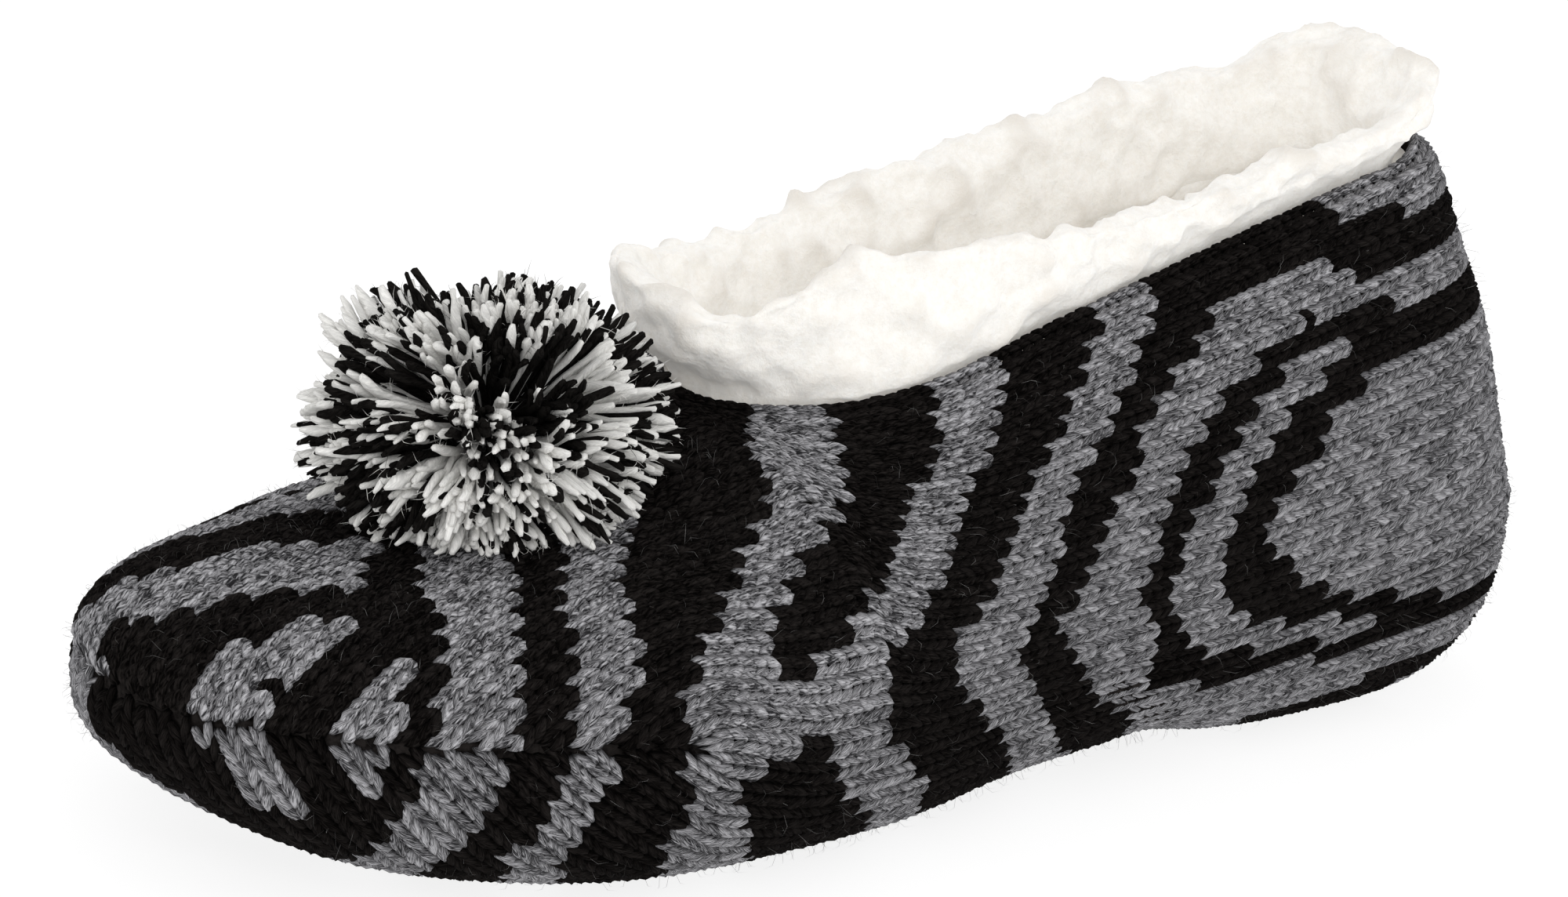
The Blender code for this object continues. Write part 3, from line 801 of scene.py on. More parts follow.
def follow(run, values, at):
    """Values along a path at the given lengths of run."""
    return np.stack([np.interp(at, run, values[:, axis]) for axis in range(3)], -1)


def unit(vectors):
    """Vectors at length one."""
    return vectors / np.maximum(np.linalg.norm(vectors, axis=-1, keepdims=True), TINY)


def nearest(points, others):
    """Distance from each point to the nearest of the other points."""
    return np.linalg.norm(points[:, None] - others[None], axis=-1).min(1)


def tube_faces(rings, sides):
    """Faces of one closed tube: a start point, rings of points, and an end point."""
    faces = []
    end = rings * sides + 1
    for side in range(sides):
        after = (side + 1) % sides
        faces.append((0, 1 + after, 1 + side))
        for ring in range(rings - 1):
            low = 1 + ring * sides
            faces.append((low + side, low + after, low + sides + after, low + sides + side))
        last = 1 + (rings - 1) * sides
        faces.append((last + side, last + after, end))
    return faces


def repeat_faces(faces, points_each, copies):
    """The faces of one small shape for each of its copies, as corner lists and their lengths."""
    corners = np.concatenate([np.array(face) for face in faces])
    lengths = np.array([len(face) for face in faces])
    starts = np.arange(copies) * points_each
    return (starts[:, None] + corners).ravel(), np.tile(lengths, copies)


def add_piece(name, points, corners, lengths, material, values=None, vectors=None):
    """Mesh object from millimetre points, with a number or a vector for each point."""
    mesh = bpy.data.meshes.new(name)
    mesh.vertices.add(len(points))
    mesh.vertices.foreach_set("co", np.ascontiguousarray(points * MM, np.float32).ravel())
    mesh.loops.add(len(corners))
    mesh.loops.foreach_set("vertex_index", corners.astype(np.int32))
    mesh.polygons.add(len(lengths))
    mesh.polygons.foreach_set("loop_start", (np.cumsum(lengths) - lengths).astype(np.int32))
    for key, value in (values or {}).items():
        data = mesh.attributes.new(key, "FLOAT", "POINT").data
        data.foreach_set("value", np.ascontiguousarray(value, np.float32))
    for key, vector in (vectors or {}).items():
        data = mesh.attributes.new(key, "FLOAT_VECTOR", "POINT").data
        data.foreach_set("vector", np.ascontiguousarray(vector, np.float32).ravel())
    mesh.update(calc_edges=True)
    mesh.validate()
    mesh.shade_smooth()
    mesh.materials.append(material)
    piece = bpy.data.objects.new(name, mesh)
    bpy.context.scene.collection.objects.link(piece)
    return piece


def kept_off_seam(points, upper):
    """Points of the knit near the toe, held on their own side of the toe seam."""
    seam = np.interp(points[:, 0], SEAM_LINE[:, 0], SEAM_LINE[:, 2])
    if upper:
        held = np.maximum(points[:, 2], seam - SEAM_OVERLAP)
    else:
        held = np.minimum(points[:, 2], seam + SEAM_OVERLAP)
    near_toe = points[:, 0] < SEAM_LINE[-1, 0]
    return np.stack([points[:, 0], points[:, 1], np.where(near_toe, held, points[:, 2])], -1)


def stitch_piece(name, stitches, rings, sides, course, seed, material):
    """Every stitch as two tapered legs that meet toward the heel and open toward the toe."""
    random = np.random.default_rng(seed)
    hands = np.repeat([1.0, -1.0], len(stitches.points))
    pairs = Stitches(*[np.concatenate([part, part]) for part in stitches])
    points, ahead, across, out, bend, before, after, width, grey = pairs
    count = len(points)
    length = LEG_LENGTH * course * random.uniform(*LEG_VARIATION, count)
    thick = LEG_THICKNESS * random.uniform(*THICKNESS_VARIATION, count)
    wide = LEG_WIDTH * width * random.uniform(*LEG_VARIATION, count)
    swing = random.normal(0, LEG_SWING, count)
    toe_half = np.minimum(length / 2, before)
    heel_half = np.minimum(length / 2, after)
    places = [-0.5] + [ring.along for ring in rings] + [0.5]
    sizes = [0.0] + [ring.size for ring in rings] + [0.0]
    angles = math.pi / 2 + np.arange(sides) / sides * 2 * math.pi
    columns, yarn, painted_light = [], [], []
    twist = random.uniform(0, YARN_STARTS, count)
    for place, size in zip(places, sizes):
        spread = (LEG_TOE_PLACE + LEG_HEEL_PLACE) / 2 - (LEG_TOE_PLACE - LEG_HEEL_PLACE) * place
        run = 2 * place * (toe_half if place < 0 else heel_half)
        middle = points + ahead * run[:, None] + bend * (run ** 2 / 2)[:, None]
        middle = middle + across * (hands * width * spread + swing * run)[:, None]
        dip = SEAM_DEPTH * np.exp(-((before - LEG_OVERRUN + run) / SEAM_WIDTH) ** 2)
        middle = middle + out * (-LEG_DIP * (2 * place) ** 2 - dip)[:, None]
        for angle in angles if size else angles[:1]:
            aside = across * (wide * size * math.cos(angle))[:, None]
            columns.append(middle + (aside + out * (thick * size * math.sin(angle))[:, None]))
            # Painted shade: full painted light on the crest of each leg, less down its sides and into the
            # grooves between legs
            painted_light.append(size * (0.5 + 0.5 * math.sin(angle)))
            turned = angle * hands
            yarn.append(np.stack([place * length + twist, turned * thick, twist], -1))
    corners = kept_off_seam(np.stack(columns, 1).reshape(-1, 3), sides == UPPER_SIDES)
    corners[:, 2] = np.maximum(corners[:, 2], 0)
    each = len(columns)
    tone = random.uniform(0, 1, count)
    values = {"grey": np.repeat(grey, each), "tone": np.repeat(tone, each), "painted_light": np.tile(painted_light, count)}
    vectors = {"yarn": np.stack(yarn, 1).reshape(-1, 3)}
    faces, lengths = repeat_faces(tube_faces(len(rings), sides), each, count)
    return add_piece(name, corners, faces, lengths, material, values, vectors)


def shell_piece(name, outer, inner, material, values=None):
    """Closed wall between two grids of points of the same shape, the first one facing out."""
    rows, columns = outer.shape[:2]
    count = rows * columns
    corner = np.arange(count).reshape(rows, columns)
    face = np.stack([corner[:-1, :-1], corner[1:, :-1], corner[1:, 1:], corner[:-1, 1:]], -1).reshape(-1, 4)
    quads = [face, face[:, ::-1] + count]
    border = np.concatenate([corner[:, 0], corner[-1, 1:], corner[-2::-1, -1], corner[0, -2::-1]])
    start, end = border[:-1], border[1:]
    quads.append(np.stack([end, start, start + count, end + count], -1))
    quads = np.concatenate(quads)
    points = np.concatenate([outer.reshape(-1, 3), inner.reshape(-1, 3)])
    piece = add_piece(name, points, quads.ravel(), np.full(len(quads), 4), material, values)
    merge_doubles(piece)
    return piece


def merge_doubles(piece):
    """Joins points that lie together and turns all faces out."""
    bpy.ops.object.select_all(action="DESELECT")
    piece.select_set(True)
    bpy.context.view_layer.objects.active = piece
    bpy.ops.object.mode_set(mode="EDIT")
    bpy.ops.mesh.select_all(action="SELECT")
    bpy.ops.mesh.remove_doubles(threshold=MERGE_DISTANCE)
    bpy.ops.mesh.normals_make_consistent(inside=False)
    bpy.ops.object.mode_set(mode="OBJECT")


def both_halves(points):
    """A grid for +Y joined along its first column to its mirror copy."""
    mirrored = points[:, ::-1] * np.array([1, -1, 1])
    return np.concatenate([mirrored[:, :-1], points], 1)


def pile(points, lumps):
    """How far the pile stands out at each point: soft rounded lumps, coarse to fine."""
    out = np.zeros(len(points))
    for lump in lumps:
        near = np.array([noise.voronoi(Vector(point / lump.size))[0] for point in points])
        joined = np.log(np.exp(-LUMP_SOFTNESS * near ** 2).sum(1)) / LUMP_SOFTNESS
        out += lump.height * (1 + joined)
    return out


def hollow_shade_mask(depth):
    """Mask of painted shade: 1 in the deepest hollows between the lumps of a pile and 0 on the lumps."""
    deepest, middle = np.percentile(depth, HOLLOW_SHARES)
    return np.clip((middle - depth) / (middle - deepest), 0, 1)


def square_to(ways):
    """Two directions square to each given one and to each other."""
    helper = np.where(np.abs(ways[:, 2:]) < UPRIGHT, np.array([[0, 0, 1.0]]), np.array([[1.0, 0, 0]]))
    across = unit(np.cross(ways, helper))
    return across, np.cross(ways, across)


def hair_piece(name, path, radius, tone, material):
    """Thin three-sided hairs that taper to a point along a path of points."""
    count = len(path[0])
    across, over = square_to(unit(path[1] - path[0]))
    columns = []
    for order, middle in enumerate(path[:-1]):
        size = radius * (1 - HAIR_TAPER * order)
        for angle in (0, 2 * math.pi / 3, 4 * math.pi / 3):
            columns.append(middle + size * (across * math.cos(angle) + over * math.sin(angle)))
    columns.append(path[-1])
    faces = [(0, 2, 1)]
    last = 3 * (len(path) - 2)
    for side in range(3):
        after = (side + 1) % 3
        for low in range(0, last, 3):
            faces.append((low + side, low + after, low + 3 + after, low + 3 + side))
        faces.append((last + side, last + after, last + 3))
    corners, lengths = repeat_faces(faces, len(columns), count)
    points = np.stack(columns, 1).reshape(-1, 3)
    return add_piece(name, points, corners, lengths, material, {"tone": np.repeat(tone, len(columns))})


def ring_normals(points):
    """Directions square to a grid of points that closes both ways, from its neighbours."""
    down = np.roll(points, -1, 0) - np.roll(points, 1, 0)
    right = np.roll(points, -1, 1) - np.roll(points, 1, 1)
    return unit(np.cross(down, right))


def rim_loop(steps):
    """Closed loop of the collar's rim, with the direction that points into the opening."""
    around = np.arange(steps) / steps * 2 * math.pi
    station = THROAT + (BACK_RIM - THROAT) * (0.5 - 0.5 * np.cos(around))
    side = np.where(np.sin(around) < 0, 1.0, -1.0)
    points = skin(station, rim_turn(station)) * np.stack([np.ones(steps), side, np.ones(steps)], -1)
    points[:, 2] += GAP
    run = np.roll(points, -1, 0) - np.roll(points, 1, 0)
    inward = unit(np.stack([-run[:, 1], run[:, 0], np.zeros(steps)], -1))
    return station, points, inward


def even_loop(points, columns, steps):
    """A closed loop and its other columns at even spaces along it."""
    closed = np.concatenate([points, points[:1]])
    run = run_length(closed)
    at = np.arange(steps) / steps * run[-1]
    found = []
    for column in (points, *columns):
        column = np.concatenate([column, column[:1]]).reshape(len(closed), -1)
        found.append(np.stack([np.interp(at, run, column[:, axis]) for axis in range(column.shape[1])], -1))
    return found


def cuff_points():
    """Smooth points of the fleece collar before its pile stands out."""
    station, rim, inward = rim_loop(CUFF_STEPS * 2)
    rim, station, inward = even_loop(rim, (station, inward), CUFF_STEPS)
    far = np.clip(0.5 + rim[:, 1] / (2 * CUFF_BLEND), 0, 1)
    far = far * far * (3 - 2 * far)
    height, lean = [
        (1 - far) * smooth_rows(CUFF_RISES, near_name, station[:, 0])
        + far * smooth_rows(CUFF_RISES, far_name, station[:, 0])
        for near_name, far_name in (("near", "far"), ("near_lean", "far_lean"))
    ]
    rings = []
    for corner in CUFF_SECTION:
        up = corner.up + corner.share_of_height * height
        across = corner.inward - corner.share_of_height ** LEAN_BELOW * lean
        rings.append(rim + unit(inward) * across[:, None] + np.array([0, 0, 1]) * up[:, None])
    rings = np.stack(rings, 1)
    closed = np.concatenate([rings[:, -2:], rings, rings[:, :3]], 1)
    place = np.arange(CUFF_TURNS) / CUFF_TURNS * len(CUFF_SECTION)
    row = place.astype(int)
    t = (place - row)[None, :, None]
    before, start, end, after = [closed[:, row + step] for step in (1, 2, 3, 4)]
    slope_start = (end - before) / 2
    slope_end = (after - start) / 2
    curve = (1 + 2 * t) * (1 - t) ** 2 * start + t * (1 - t) ** 2 * slope_start
    curve = curve + t * t * (3 - 2 * t) * end + t * t * (t - 1) * slope_end
    corners = [corner.pile for corner in CUFF_SECTION]
    return curve, np.interp(place, np.arange(len(corners) + 1), corners + corners[:1])


def dress(piece, slot, *nodes):
    """Every piece rides on the shoe's one body and hides the parts of the model that it replaces; the slot
    is not used.
    """
    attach(piece, "root")
    if nodes:
        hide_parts(*nodes)


def new_material(name):
    """Empty material with a Principled shader, and its nodes and links."""
    material = bpy.data.materials.new(name)
    material.use_nodes = True
    nodes = material.node_tree.nodes
    return material, nodes, material.node_tree.links, nodes["Principled BSDF"]


def yarn_group():
    """Node group for spun yarn: streaks of light and dark fibre that twist along it."""
    if "Spun yarn" in bpy.data.node_groups:
        return bpy.data.node_groups["Spun yarn"]
    group = bpy.data.node_groups.new("Spun yarn", "ShaderNodeTree")
    face = group.interface
    for name, value in (("Streak Length", STREAK_LENGTH), ("Streak Width", STREAK_WIDTH)):
        face.new_socket(name, in_out="INPUT", socket_type="NodeSocketFloat").default_value = value
    face.new_socket("Streak", in_out="OUTPUT", socket_type="NodeSocketFloat")
    nodes, links = group.nodes, group.links
    given = nodes.new("NodeGroupInput")
    result = nodes.new("NodeGroupOutput")
    yarn = nodes.new("ShaderNodeAttribute")
    yarn.attribute_name = "yarn"
    apart = nodes.new("ShaderNodeSeparateXYZ")
    links.new(yarn.outputs["Vector"], apart.inputs[0])
    lean = combine(nodes, links, "MULTIPLY_ADD", apart.outputs["X"], YARN_TWIST, apart.outputs["Y"])
    place = nodes.new("ShaderNodeCombineXYZ")
    long = combine(nodes, links, "MULTIPLY", apart.outputs["X"], given.outputs["Streak Length"])
    links.new(long, place.inputs["X"])
    links.new(combine(nodes, links, "MULTIPLY", lean, given.outputs["Streak Width"]), place.inputs["Y"])
    links.new(apart.outputs["Z"], place.inputs["Z"])
    fibre = nodes.new("ShaderNodeTexNoise")
    set_inputs(fibre, {"Scale": 1.0, "Detail": 3.0, "Roughness": 0.65})
    links.new(place.outputs[0], fibre.inputs["Vector"])
    links.new(fibre.outputs["Fac"], result.inputs["Streak"])
    return group


def set_inputs(node, values):
    """Sets sockets of a node by their names."""
    for name, value in values.items():
        node.inputs[name].default_value = value


def combine(nodes, links, operation, *values):
    """Math node of sockets and plain numbers."""
    node = nodes.new("ShaderNodeMath")
    node.operation = operation
    for socket, value in zip(node.inputs, values):
        if isinstance(value, bpy.types.NodeSocket):
            links.new(value, socket)
        else:
            socket.default_value = value
    return node.outputs[0]


def mix_colour(nodes, links, factor, first, second):
    """Mix node between two colours or colour sockets, by a socket."""
    mix = nodes.new("ShaderNodeMix")
    mix.data_type = "RGBA"
    links.new(factor, mix.inputs["Factor"])
    for key, colour in (("A", first), ("B", second)):
        socket = [one for one in mix.inputs if one.name == key and one.type == "RGBA"][0]
        if isinstance(colour, bpy.types.NodeSocket):
            links.new(colour, socket)
        else:
            socket.default_value = (*colour, 1.0)
    return [one for one in mix.outputs if one.type == "RGBA"][0]


def remap(nodes, links, value, low, high, start=0.0, end=1.0):
    """Map Range node from low-high to start-end, kept inside."""
    node = nodes.new("ShaderNodeMapRange")
    links.new(value, node.inputs["Value"])
    set_inputs(node, {"From Min": low, "From Max": high, "To Min": start, "To Max": end})
    return node.outputs["Result"]


def attribute(nodes, name):
    """Number attribute of the piece's points."""
    node = nodes.new("ShaderNodeAttribute")
    node.attribute_name = name
    return node.outputs["Fac"]


def bump(nodes, links, surface, height, distance):
    """Bump node from a height into the shader's normal."""
    node = nodes.new("ShaderNodeBump")
    set_inputs(node, {"Strength": BUMP_STRENGTH, "Distance": distance})
    links.new(height, node.inputs["Height"])
    links.new(node.outputs["Normal"], surface.inputs["Normal"])


def yarn_material(name, mask, dark_low, dark_high, light_low, light_high):
    """Spun yarn in a dark and a light colour, chosen by a mask, each with streaks of its own fibres, and
    painted shade where its points carry little painted light.
    """
    material, nodes, links, surface = new_material(name)
    spun = nodes.new("ShaderNodeGroup")
    spun.node_tree = yarn_group()
    tone = remap(nodes, links, attribute(nodes, "tone"), 0.0, 1.0, -TONE_SPREAD, TONE_SPREAD)
    toned = combine(nodes, links, "ADD", tone, spun.outputs["Streak"])
    streak = remap(nodes, links, toned, *STREAK_EDGES)
    dark = mix_colour(nodes, links, streak, dark_low, dark_high)
    light = mix_colour(nodes, links, streak, light_low, light_high)
    colour = mix_colour(nodes, links, attribute(nodes, mask), dark, light)
    # Painted shade: the colour darkens toward black where the points carry little painted light, in the
    # grooves between stitch legs and toward the pompom's roots
    open_to_light = remap(nodes, links, attribute(nodes, "painted_light"), *PAINTED_LIGHT_EDGES, CREST_SHADE, 1.0)
    colour = mix_colour(nodes, links, open_to_light, (0.0, 0.0, 0.0), colour)
    links.new(colour, surface.inputs["Base Color"])
    bump(nodes, links, surface, spun.outputs["Streak"], YARN_BUMP)
    set_inputs(surface, {"Roughness": 0.95, "Specular IOR Level": 0.02})
    return material


def backing_material(name, knit):
    """Dark reverse of the knit."""
    return cloth_material(name, knit.black_fibre, knit.black, BACKING_GRAIN, BACKING_BUMP)[0]


def cloth_material(name, light, shade, scale, depth):
    """Cloth of fine fibres: noise in its colour and in its height."""
    material, nodes, links, surface = new_material(name)
    place = nodes.new("ShaderNodeTexCoord")
    fine = nodes.new("ShaderNodeTexNoise")
    set_inputs(fine, {"Scale": scale, "Detail": 4.0, "Roughness": 0.7})
    links.new(place.outputs["Object"], fine.inputs["Vector"])
    grain = remap(nodes, links, fine.outputs["Fac"], *GRAIN_EDGES)
    links.new(mix_colour(nodes, links, grain, shade, light), surface.inputs["Base Color"])
    bump(nodes, links, surface, fine.outputs["Fac"], depth)
    set_inputs(surface, {"Roughness": 1.0, "Specular IOR Level": 0.04})
    return material, surface


def fleece_material(name, light, shade, hollow_shade):
    """White pile fleece with painted shade in the hollows between its lumps and a faint painted glow of its
    own: light soaks into it.
    """
    material, surface = cloth_material(name, light, shade, FLEECE_GRAIN, FLEECE_BUMP)
    nodes, links = material.node_tree.nodes, material.node_tree.links
    fibres = surface.inputs["Base Color"].links[0].from_socket
    # Painted shade: the colour turns toward the hollow colour in the hollows between the lumps
    shaded_in_hollows = mix_colour(nodes, links, attribute(nodes, "hollow_shade"), fibres, hollow_shade)
    links.new(shaded_in_hollows, surface.inputs["Base Color"])
    # Painted light: a faint warm glow of its own brightens the whole fleece, its crevices too
    set_inputs(surface, {"Emission Color": (1.0, 0.96, 0.9, 1.0), "Emission Strength": 0.13})
    set_inputs(surface, {"Subsurface Weight": 0.5, "Subsurface Radius": (0.006, 0.0055, 0.005)})
    set_inputs(surface, {"Sheen Weight": 0.15, "Sheen Roughness": 0.6})
    return material


def hair_material(name, dark, light):
    """Loose fibres, each of its own shade between a dark and a light one."""
    material, nodes, links, surface = new_material(name)
    links.new(mix_colour(nodes, links, attribute(nodes, "tone"), dark, light), surface.inputs["Base Color"])
    set_inputs(surface, {"Roughness": 0.8, "Specular IOR Level": 0.2})
    return material


def strand_ways(count, random):
    """Directions of the pompom's strands, drawn together in tufts, and the tuft each belongs to."""
    ways = ball_directions(count, STRAND_LOWEST)
    ways = unit(ways + random.normal(0, STRAND_STRAY, ways.shape))
    centres = ball_directions(STRAND_TUFTS, STRAND_LOWEST)
    centres = unit(centres + random.normal(0, TUFT_STRAY, centres.shape))
    tuft = np.argmax(ways @ centres.T, 1)
    return unit(ways + TUFT_PULL * (centres[tuft] - ways)), tuft


def strand_path(middle, ways, tuft, reach, random):
    """Points along every strand from its root to its cut end: tufts lean over and strands wave."""
    lean = random.normal(0, TUFT_LEAN, (STRAND_TUFTS, 3))[tuft] + random.normal(0, STRAND_LEAN, ways.shape)
    lean -= ways * np.sum(lean * ways, -1, keepdims=True)
    sway = unit(np.cross(ways, random.normal(0, 1, ways.shape))) * STRAND_WAVE
    phase = random.uniform(0, 2 * math.pi, len(ways))
    path = []
    for ring in STRAND_RINGS:
        point = middle + ways * (reach * ring.along)[:, None] + lean * ring.along ** 2
        point = point + sway * (ring.along * np.sin(phase + STRAND_WAVES * ring.along))[:, None]
        path.append(above_vamp(point, STRAND_RADIUS))
    return path


def strand_piece(name, path, thick, reach, pale, random, material):
    """Every strand of the pompom as an uneven tube with a rounded end."""
    count = len(thick)
    ways = unit(path[-1] - path[0])
    across, over = square_to(ways)
    twist = random.uniform(0, YARN_STARTS, count)
    columns = [path[0] - ways]
    yarn = [np.stack([twist, 0 * twist, twist], -1)]
    painted_light = [0.0]
    for ring, point in zip(STRAND_RINGS, path):
        size = thick * ring.size * (1 + random.normal(0, STRAND_UNEVEN, count))
        for corner in range(STRAND_SIDES):
            angle = corner / STRAND_SIDES * 2 * math.pi
            columns.append(point + (across * math.cos(angle) + over * math.sin(angle)) * size[:, None])
            yarn.append(np.stack([ring.along * reach + twist, angle * thick, twist], -1))
            # Painted shade: strands carry less painted light toward the root, deep inside the ball
            painted_light.append(STRAND_SHADE + (1 - STRAND_SHADE) * ring.along)
    columns.append(path[-1] + unit(path[-1] - path[-2]) * thick[:, None] * STRAND_END)
    yarn.append(np.stack([reach + STRAND_END + twist, 0 * twist, twist], -1))
    painted_light.append(1.0)
    each = len(columns)
    faces, lengths = repeat_faces(tube_faces(len(STRAND_RINGS), STRAND_SIDES), each, count)
    points = np.stack(columns, 1).reshape(-1, 3)
    values = {"grey": np.repeat(pale, each), "tone": np.repeat(random.uniform(0, 1, count), each)}
    values["painted_light"] = np.tile(painted_light, count)
    vectors = {"yarn": np.stack(yarn, 1).reshape(-1, 3)}
    return add_piece(name, points, faces, lengths, material, values, vectors)


def ball_directions(count, lowest):
    """Evenly spread directions over a ball, without the lowest ones."""
    order = np.arange(count) + 0.5
    height = 1 - (1 - lowest) * order / count
    angle = order * math.pi * GOLDEN_SHARE
    flat = np.sqrt(1 - height ** 2)
    return np.stack([flat * np.cos(angle), flat * np.sin(angle), height], -1)


def parted(ways):
    """Strand directions combed away from the parting across the ball's near front."""
    toward = unit(np.array(PART_TOWARD))
    aside = np.array([-toward[1], toward[0], 0.0])
    front, side, high = ways @ toward, ways @ aside, ways[:, 2]
    down = np.arctan2(front, high)
    upper = down * PART_START / PART_MIDDLE
    lower = PART_END + (down - PART_MIDDLE) * (math.pi - PART_END) / (math.pi - PART_MIDDLE)
    turned = np.where(down < 0, down, np.where(down < PART_MIDDLE, upper, lower))
    level = np.hypot(front, high)
    front, high = level * np.sin(turned), level * np.cos(turned)
    return front[:, None] * toward + side[:, None] * aside + high[:, None] * np.array([0.0, 0.0, 1.0])


def above_vamp(points, clear):
    """Points lifted to stay a clear distance above the vamp."""
    station = np.clip(points[:, 0] + LENGTH / 2, 0, THROAT)
    side = along("side_height", station)
    share = np.clip(np.abs(points[:, 1]) / np.maximum(half_width(station), TINY), 0, 1)
    top = side + (ridge_height(station) - side) * (1 - share ** UPPER_POWER) ** (1 / UPPER_POWER)
    lifted = points.copy()
    lifted[:, 2] = np.maximum(points[:, 2], top + clear + GAP)
    return lifted


class KnitSettings(bpy.types.PropertyGroup):
    """Gauge and yarn of the knit."""

    wales: IntProperty(name="Wales", description="Columns of stitches on each half", default=18, min=6)
    course: FloatProperty(
        name="Course", description="Length of one stitch along its column", default=0.00215, unit="LENGTH")
    black: FloatVectorProperty(
        name="Black", description="Shade of the black yarn", subtype="COLOR",
        default=(0.0014, 0.0011, 0.001))
    black_fibre: FloatVectorProperty(
        name="Black fibre", description="Lighter fibres in the black yarn", subtype="COLOR",
        default=(0.018, 0.0155, 0.0145))
    grey: FloatVectorProperty(
        name="Grey", description="Dark fibres of the grey marl", subtype="COLOR",
        default=(0.024, 0.0235, 0.0255))
    grey_fibre: FloatVectorProperty(
        name="Grey fibre", description="Light fibres of the grey marl", subtype="COLOR",
        default=(0.5, 0.495, 0.515))
    fuzz: IntProperty(
        name="Fuzz", description="Loose fibres that stand out of the knit", default=4200, min=0)


class FleeceSettings(bpy.types.PropertyGroup):
    """Pile of the collar, lining and footbed."""

    white: FloatVectorProperty(
        name="White", description="Tips of the pile", subtype="COLOR", default=(0.845, 0.83, 0.8))
    shade: FloatVectorProperty(
        name="Shade", description="Depth of the pile", subtype="COLOR", default=(0.79, 0.765, 0.72))
    # Colour of the painted shade in the hollows between the lumps
    hollow_shade: FloatVectorProperty(
        name="Hollow", description="Hollows between the lumps", subtype="COLOR",
        default=(0.69, 0.655, 0.605))


class PompomSettings(bpy.types.PropertyGroup):
    """Yarn pompom on the vamp."""

    radius: FloatProperty(
        name="Radius", description="Radius of the trimmed ball", default=0.0245, unit="LENGTH")
    strands: IntProperty(name="Strands", description="Cut ends of yarn", default=2900, min=100)
    squash: FloatProperty(name="Squash", description="Height of the ball against its width", default=0.84)
    black_share: FloatProperty(name="Black share", description="Share of black strands", default=0.53)
    black: FloatVectorProperty(
        name="Black", description="Black strands", subtype="COLOR", default=(0.004, 0.0036, 0.0033))
    white: FloatVectorProperty(
        name="White", description="Off-white strands", subtype="COLOR", default=(0.94, 0.93, 0.9))


class StageSettings(bpy.types.PropertyGroup):
    """Camera at the photograph's angle, lights and floor."""

    azimuth: FloatProperty(name="Azimuth", description="Turn of the camera", default=math.radians(-42.0),
                           unit="ROTATION")
    elevation: FloatProperty(name="Elevation", description="Camera above the horizon",
                             default=math.radians(15.147), unit="ROTATION")
    roll: FloatProperty(name="Roll", description="Tilt of the picture", default=math.radians(4.166),
                        unit="ROTATION")
    distance: FloatProperty(
        name="Distance", description="Camera from its aim", default=1.3084, unit="LENGTH")
    lens: FloatProperty(name="Lens", description="Focal length in millimetres", default=211.3)
    floor: FloatVectorProperty(name="Floor", description="Colour of the floor", subtype="COLOR",
                               default=(0.22, 0.22, 0.22))
    glow: FloatProperty(name="Glow", description="Light of the table under the floor", default=0.85)


class SLIPPER_OT_knit_upper(bpy.types.Operator):
    """Knit of the upper: stitches on both sides, their backing and the edge of the rim"""

    bl_idname = "slipper.knit_upper"
    bl_label = "Knit the upper"

    def execute(self, context):
        knit = context.scene.slipper_knit
        course = knit.course / MM
        yarn = yarn_material("zebra_knit", "grey", knit.black, knit.black_fibre, knit.grey, knit.grey_fibre)
        for side, name in ((-1, "knit_near"), (1, "knit_far")):
            stitches = lay_stitches(True, side, knit.wales, course)
            piece = stitch_piece(name, stitches, UPPER_LEG, UPPER_SIDES, course, UPPER_SEED + side, yarn)
            dress(piece, "zebra_knit", "knit_upper")
        chain = rim_stitches(course)
        rim = stitch_piece("knit_rim", chain, UPPER_LEG, UPPER_SIDES, course, RIM_SEED, yarn)
        dress(rim, "zebra_knit", "knit_upper")
        stations = eased(0.0, LENGTH, BACKING_STEPS)[:, None]
        turns = BACKING_LAP + (rim_turn(stations) - BACKING_LAP) * np.linspace(0, 1, BACKING_TURNS)
        wall = skin(stations, turns) + np.array([0, 0, GAP])
        normal = skin_normal(stations, turns)
        backing = backing_material("knit_backing", knit)
        for side, name in ((-1, "backing_near"), (1, "backing_far")):
            flip = np.array([1, side, 1])
            outer = (wall - normal * BACKING_INSET) * flip
            inner = (wall - normal * KNIT_WALL) * flip
            piece = shell_piece(name, outer, inner, backing)
            dress(piece, "zebra_knit", "knit_upper")
        return {"FINISHED"}


class SLIPPER_OT_knit_sole(bpy.types.Operator):
    """Knit of the sole: stitches on both sides and their backing"""

    bl_idname = "slipper.knit_sole"
    bl_label = "Knit the sole"

    def execute(self, context):
        knit = context.scene.slipper_knit
        course = knit.course / MM
        yarn = yarn_material("sole_knit", "grey", knit.black, knit.black_fibre, knit.grey, knit.grey_fibre)
        for side, name in ((-1, "sole_near"), (1, "sole_far")):
            stitches = lay_stitches(False, side, knit.wales, course)
            piece = stitch_piece(name, stitches, SOLE_LEG, SOLE_SIDES, course, SOLE_SEED + side, yarn)
            dress(piece, "sole_knit", "knit_sole")
        stations = eased(0.0, LENGTH, BACKING_STEPS)[:, None]
        turns = -math.pi / 2 * np.linspace(1, 0, BACKING_TURNS) + 0 * stations
        wall = skin(stations, turns)
        normal = skin_normal(stations, turns)
        outer = both_halves(wall - normal * BACKING_INSET)
        inner = both_halves(wall - normal * SOLE_WALL)
        backing = backing_material("sole_backing", knit)
        piece = shell_piece("backing_sole", outer, inner, backing)
        dress(piece, "sole_knit", "knit_sole")
        return {"FINISHED"}


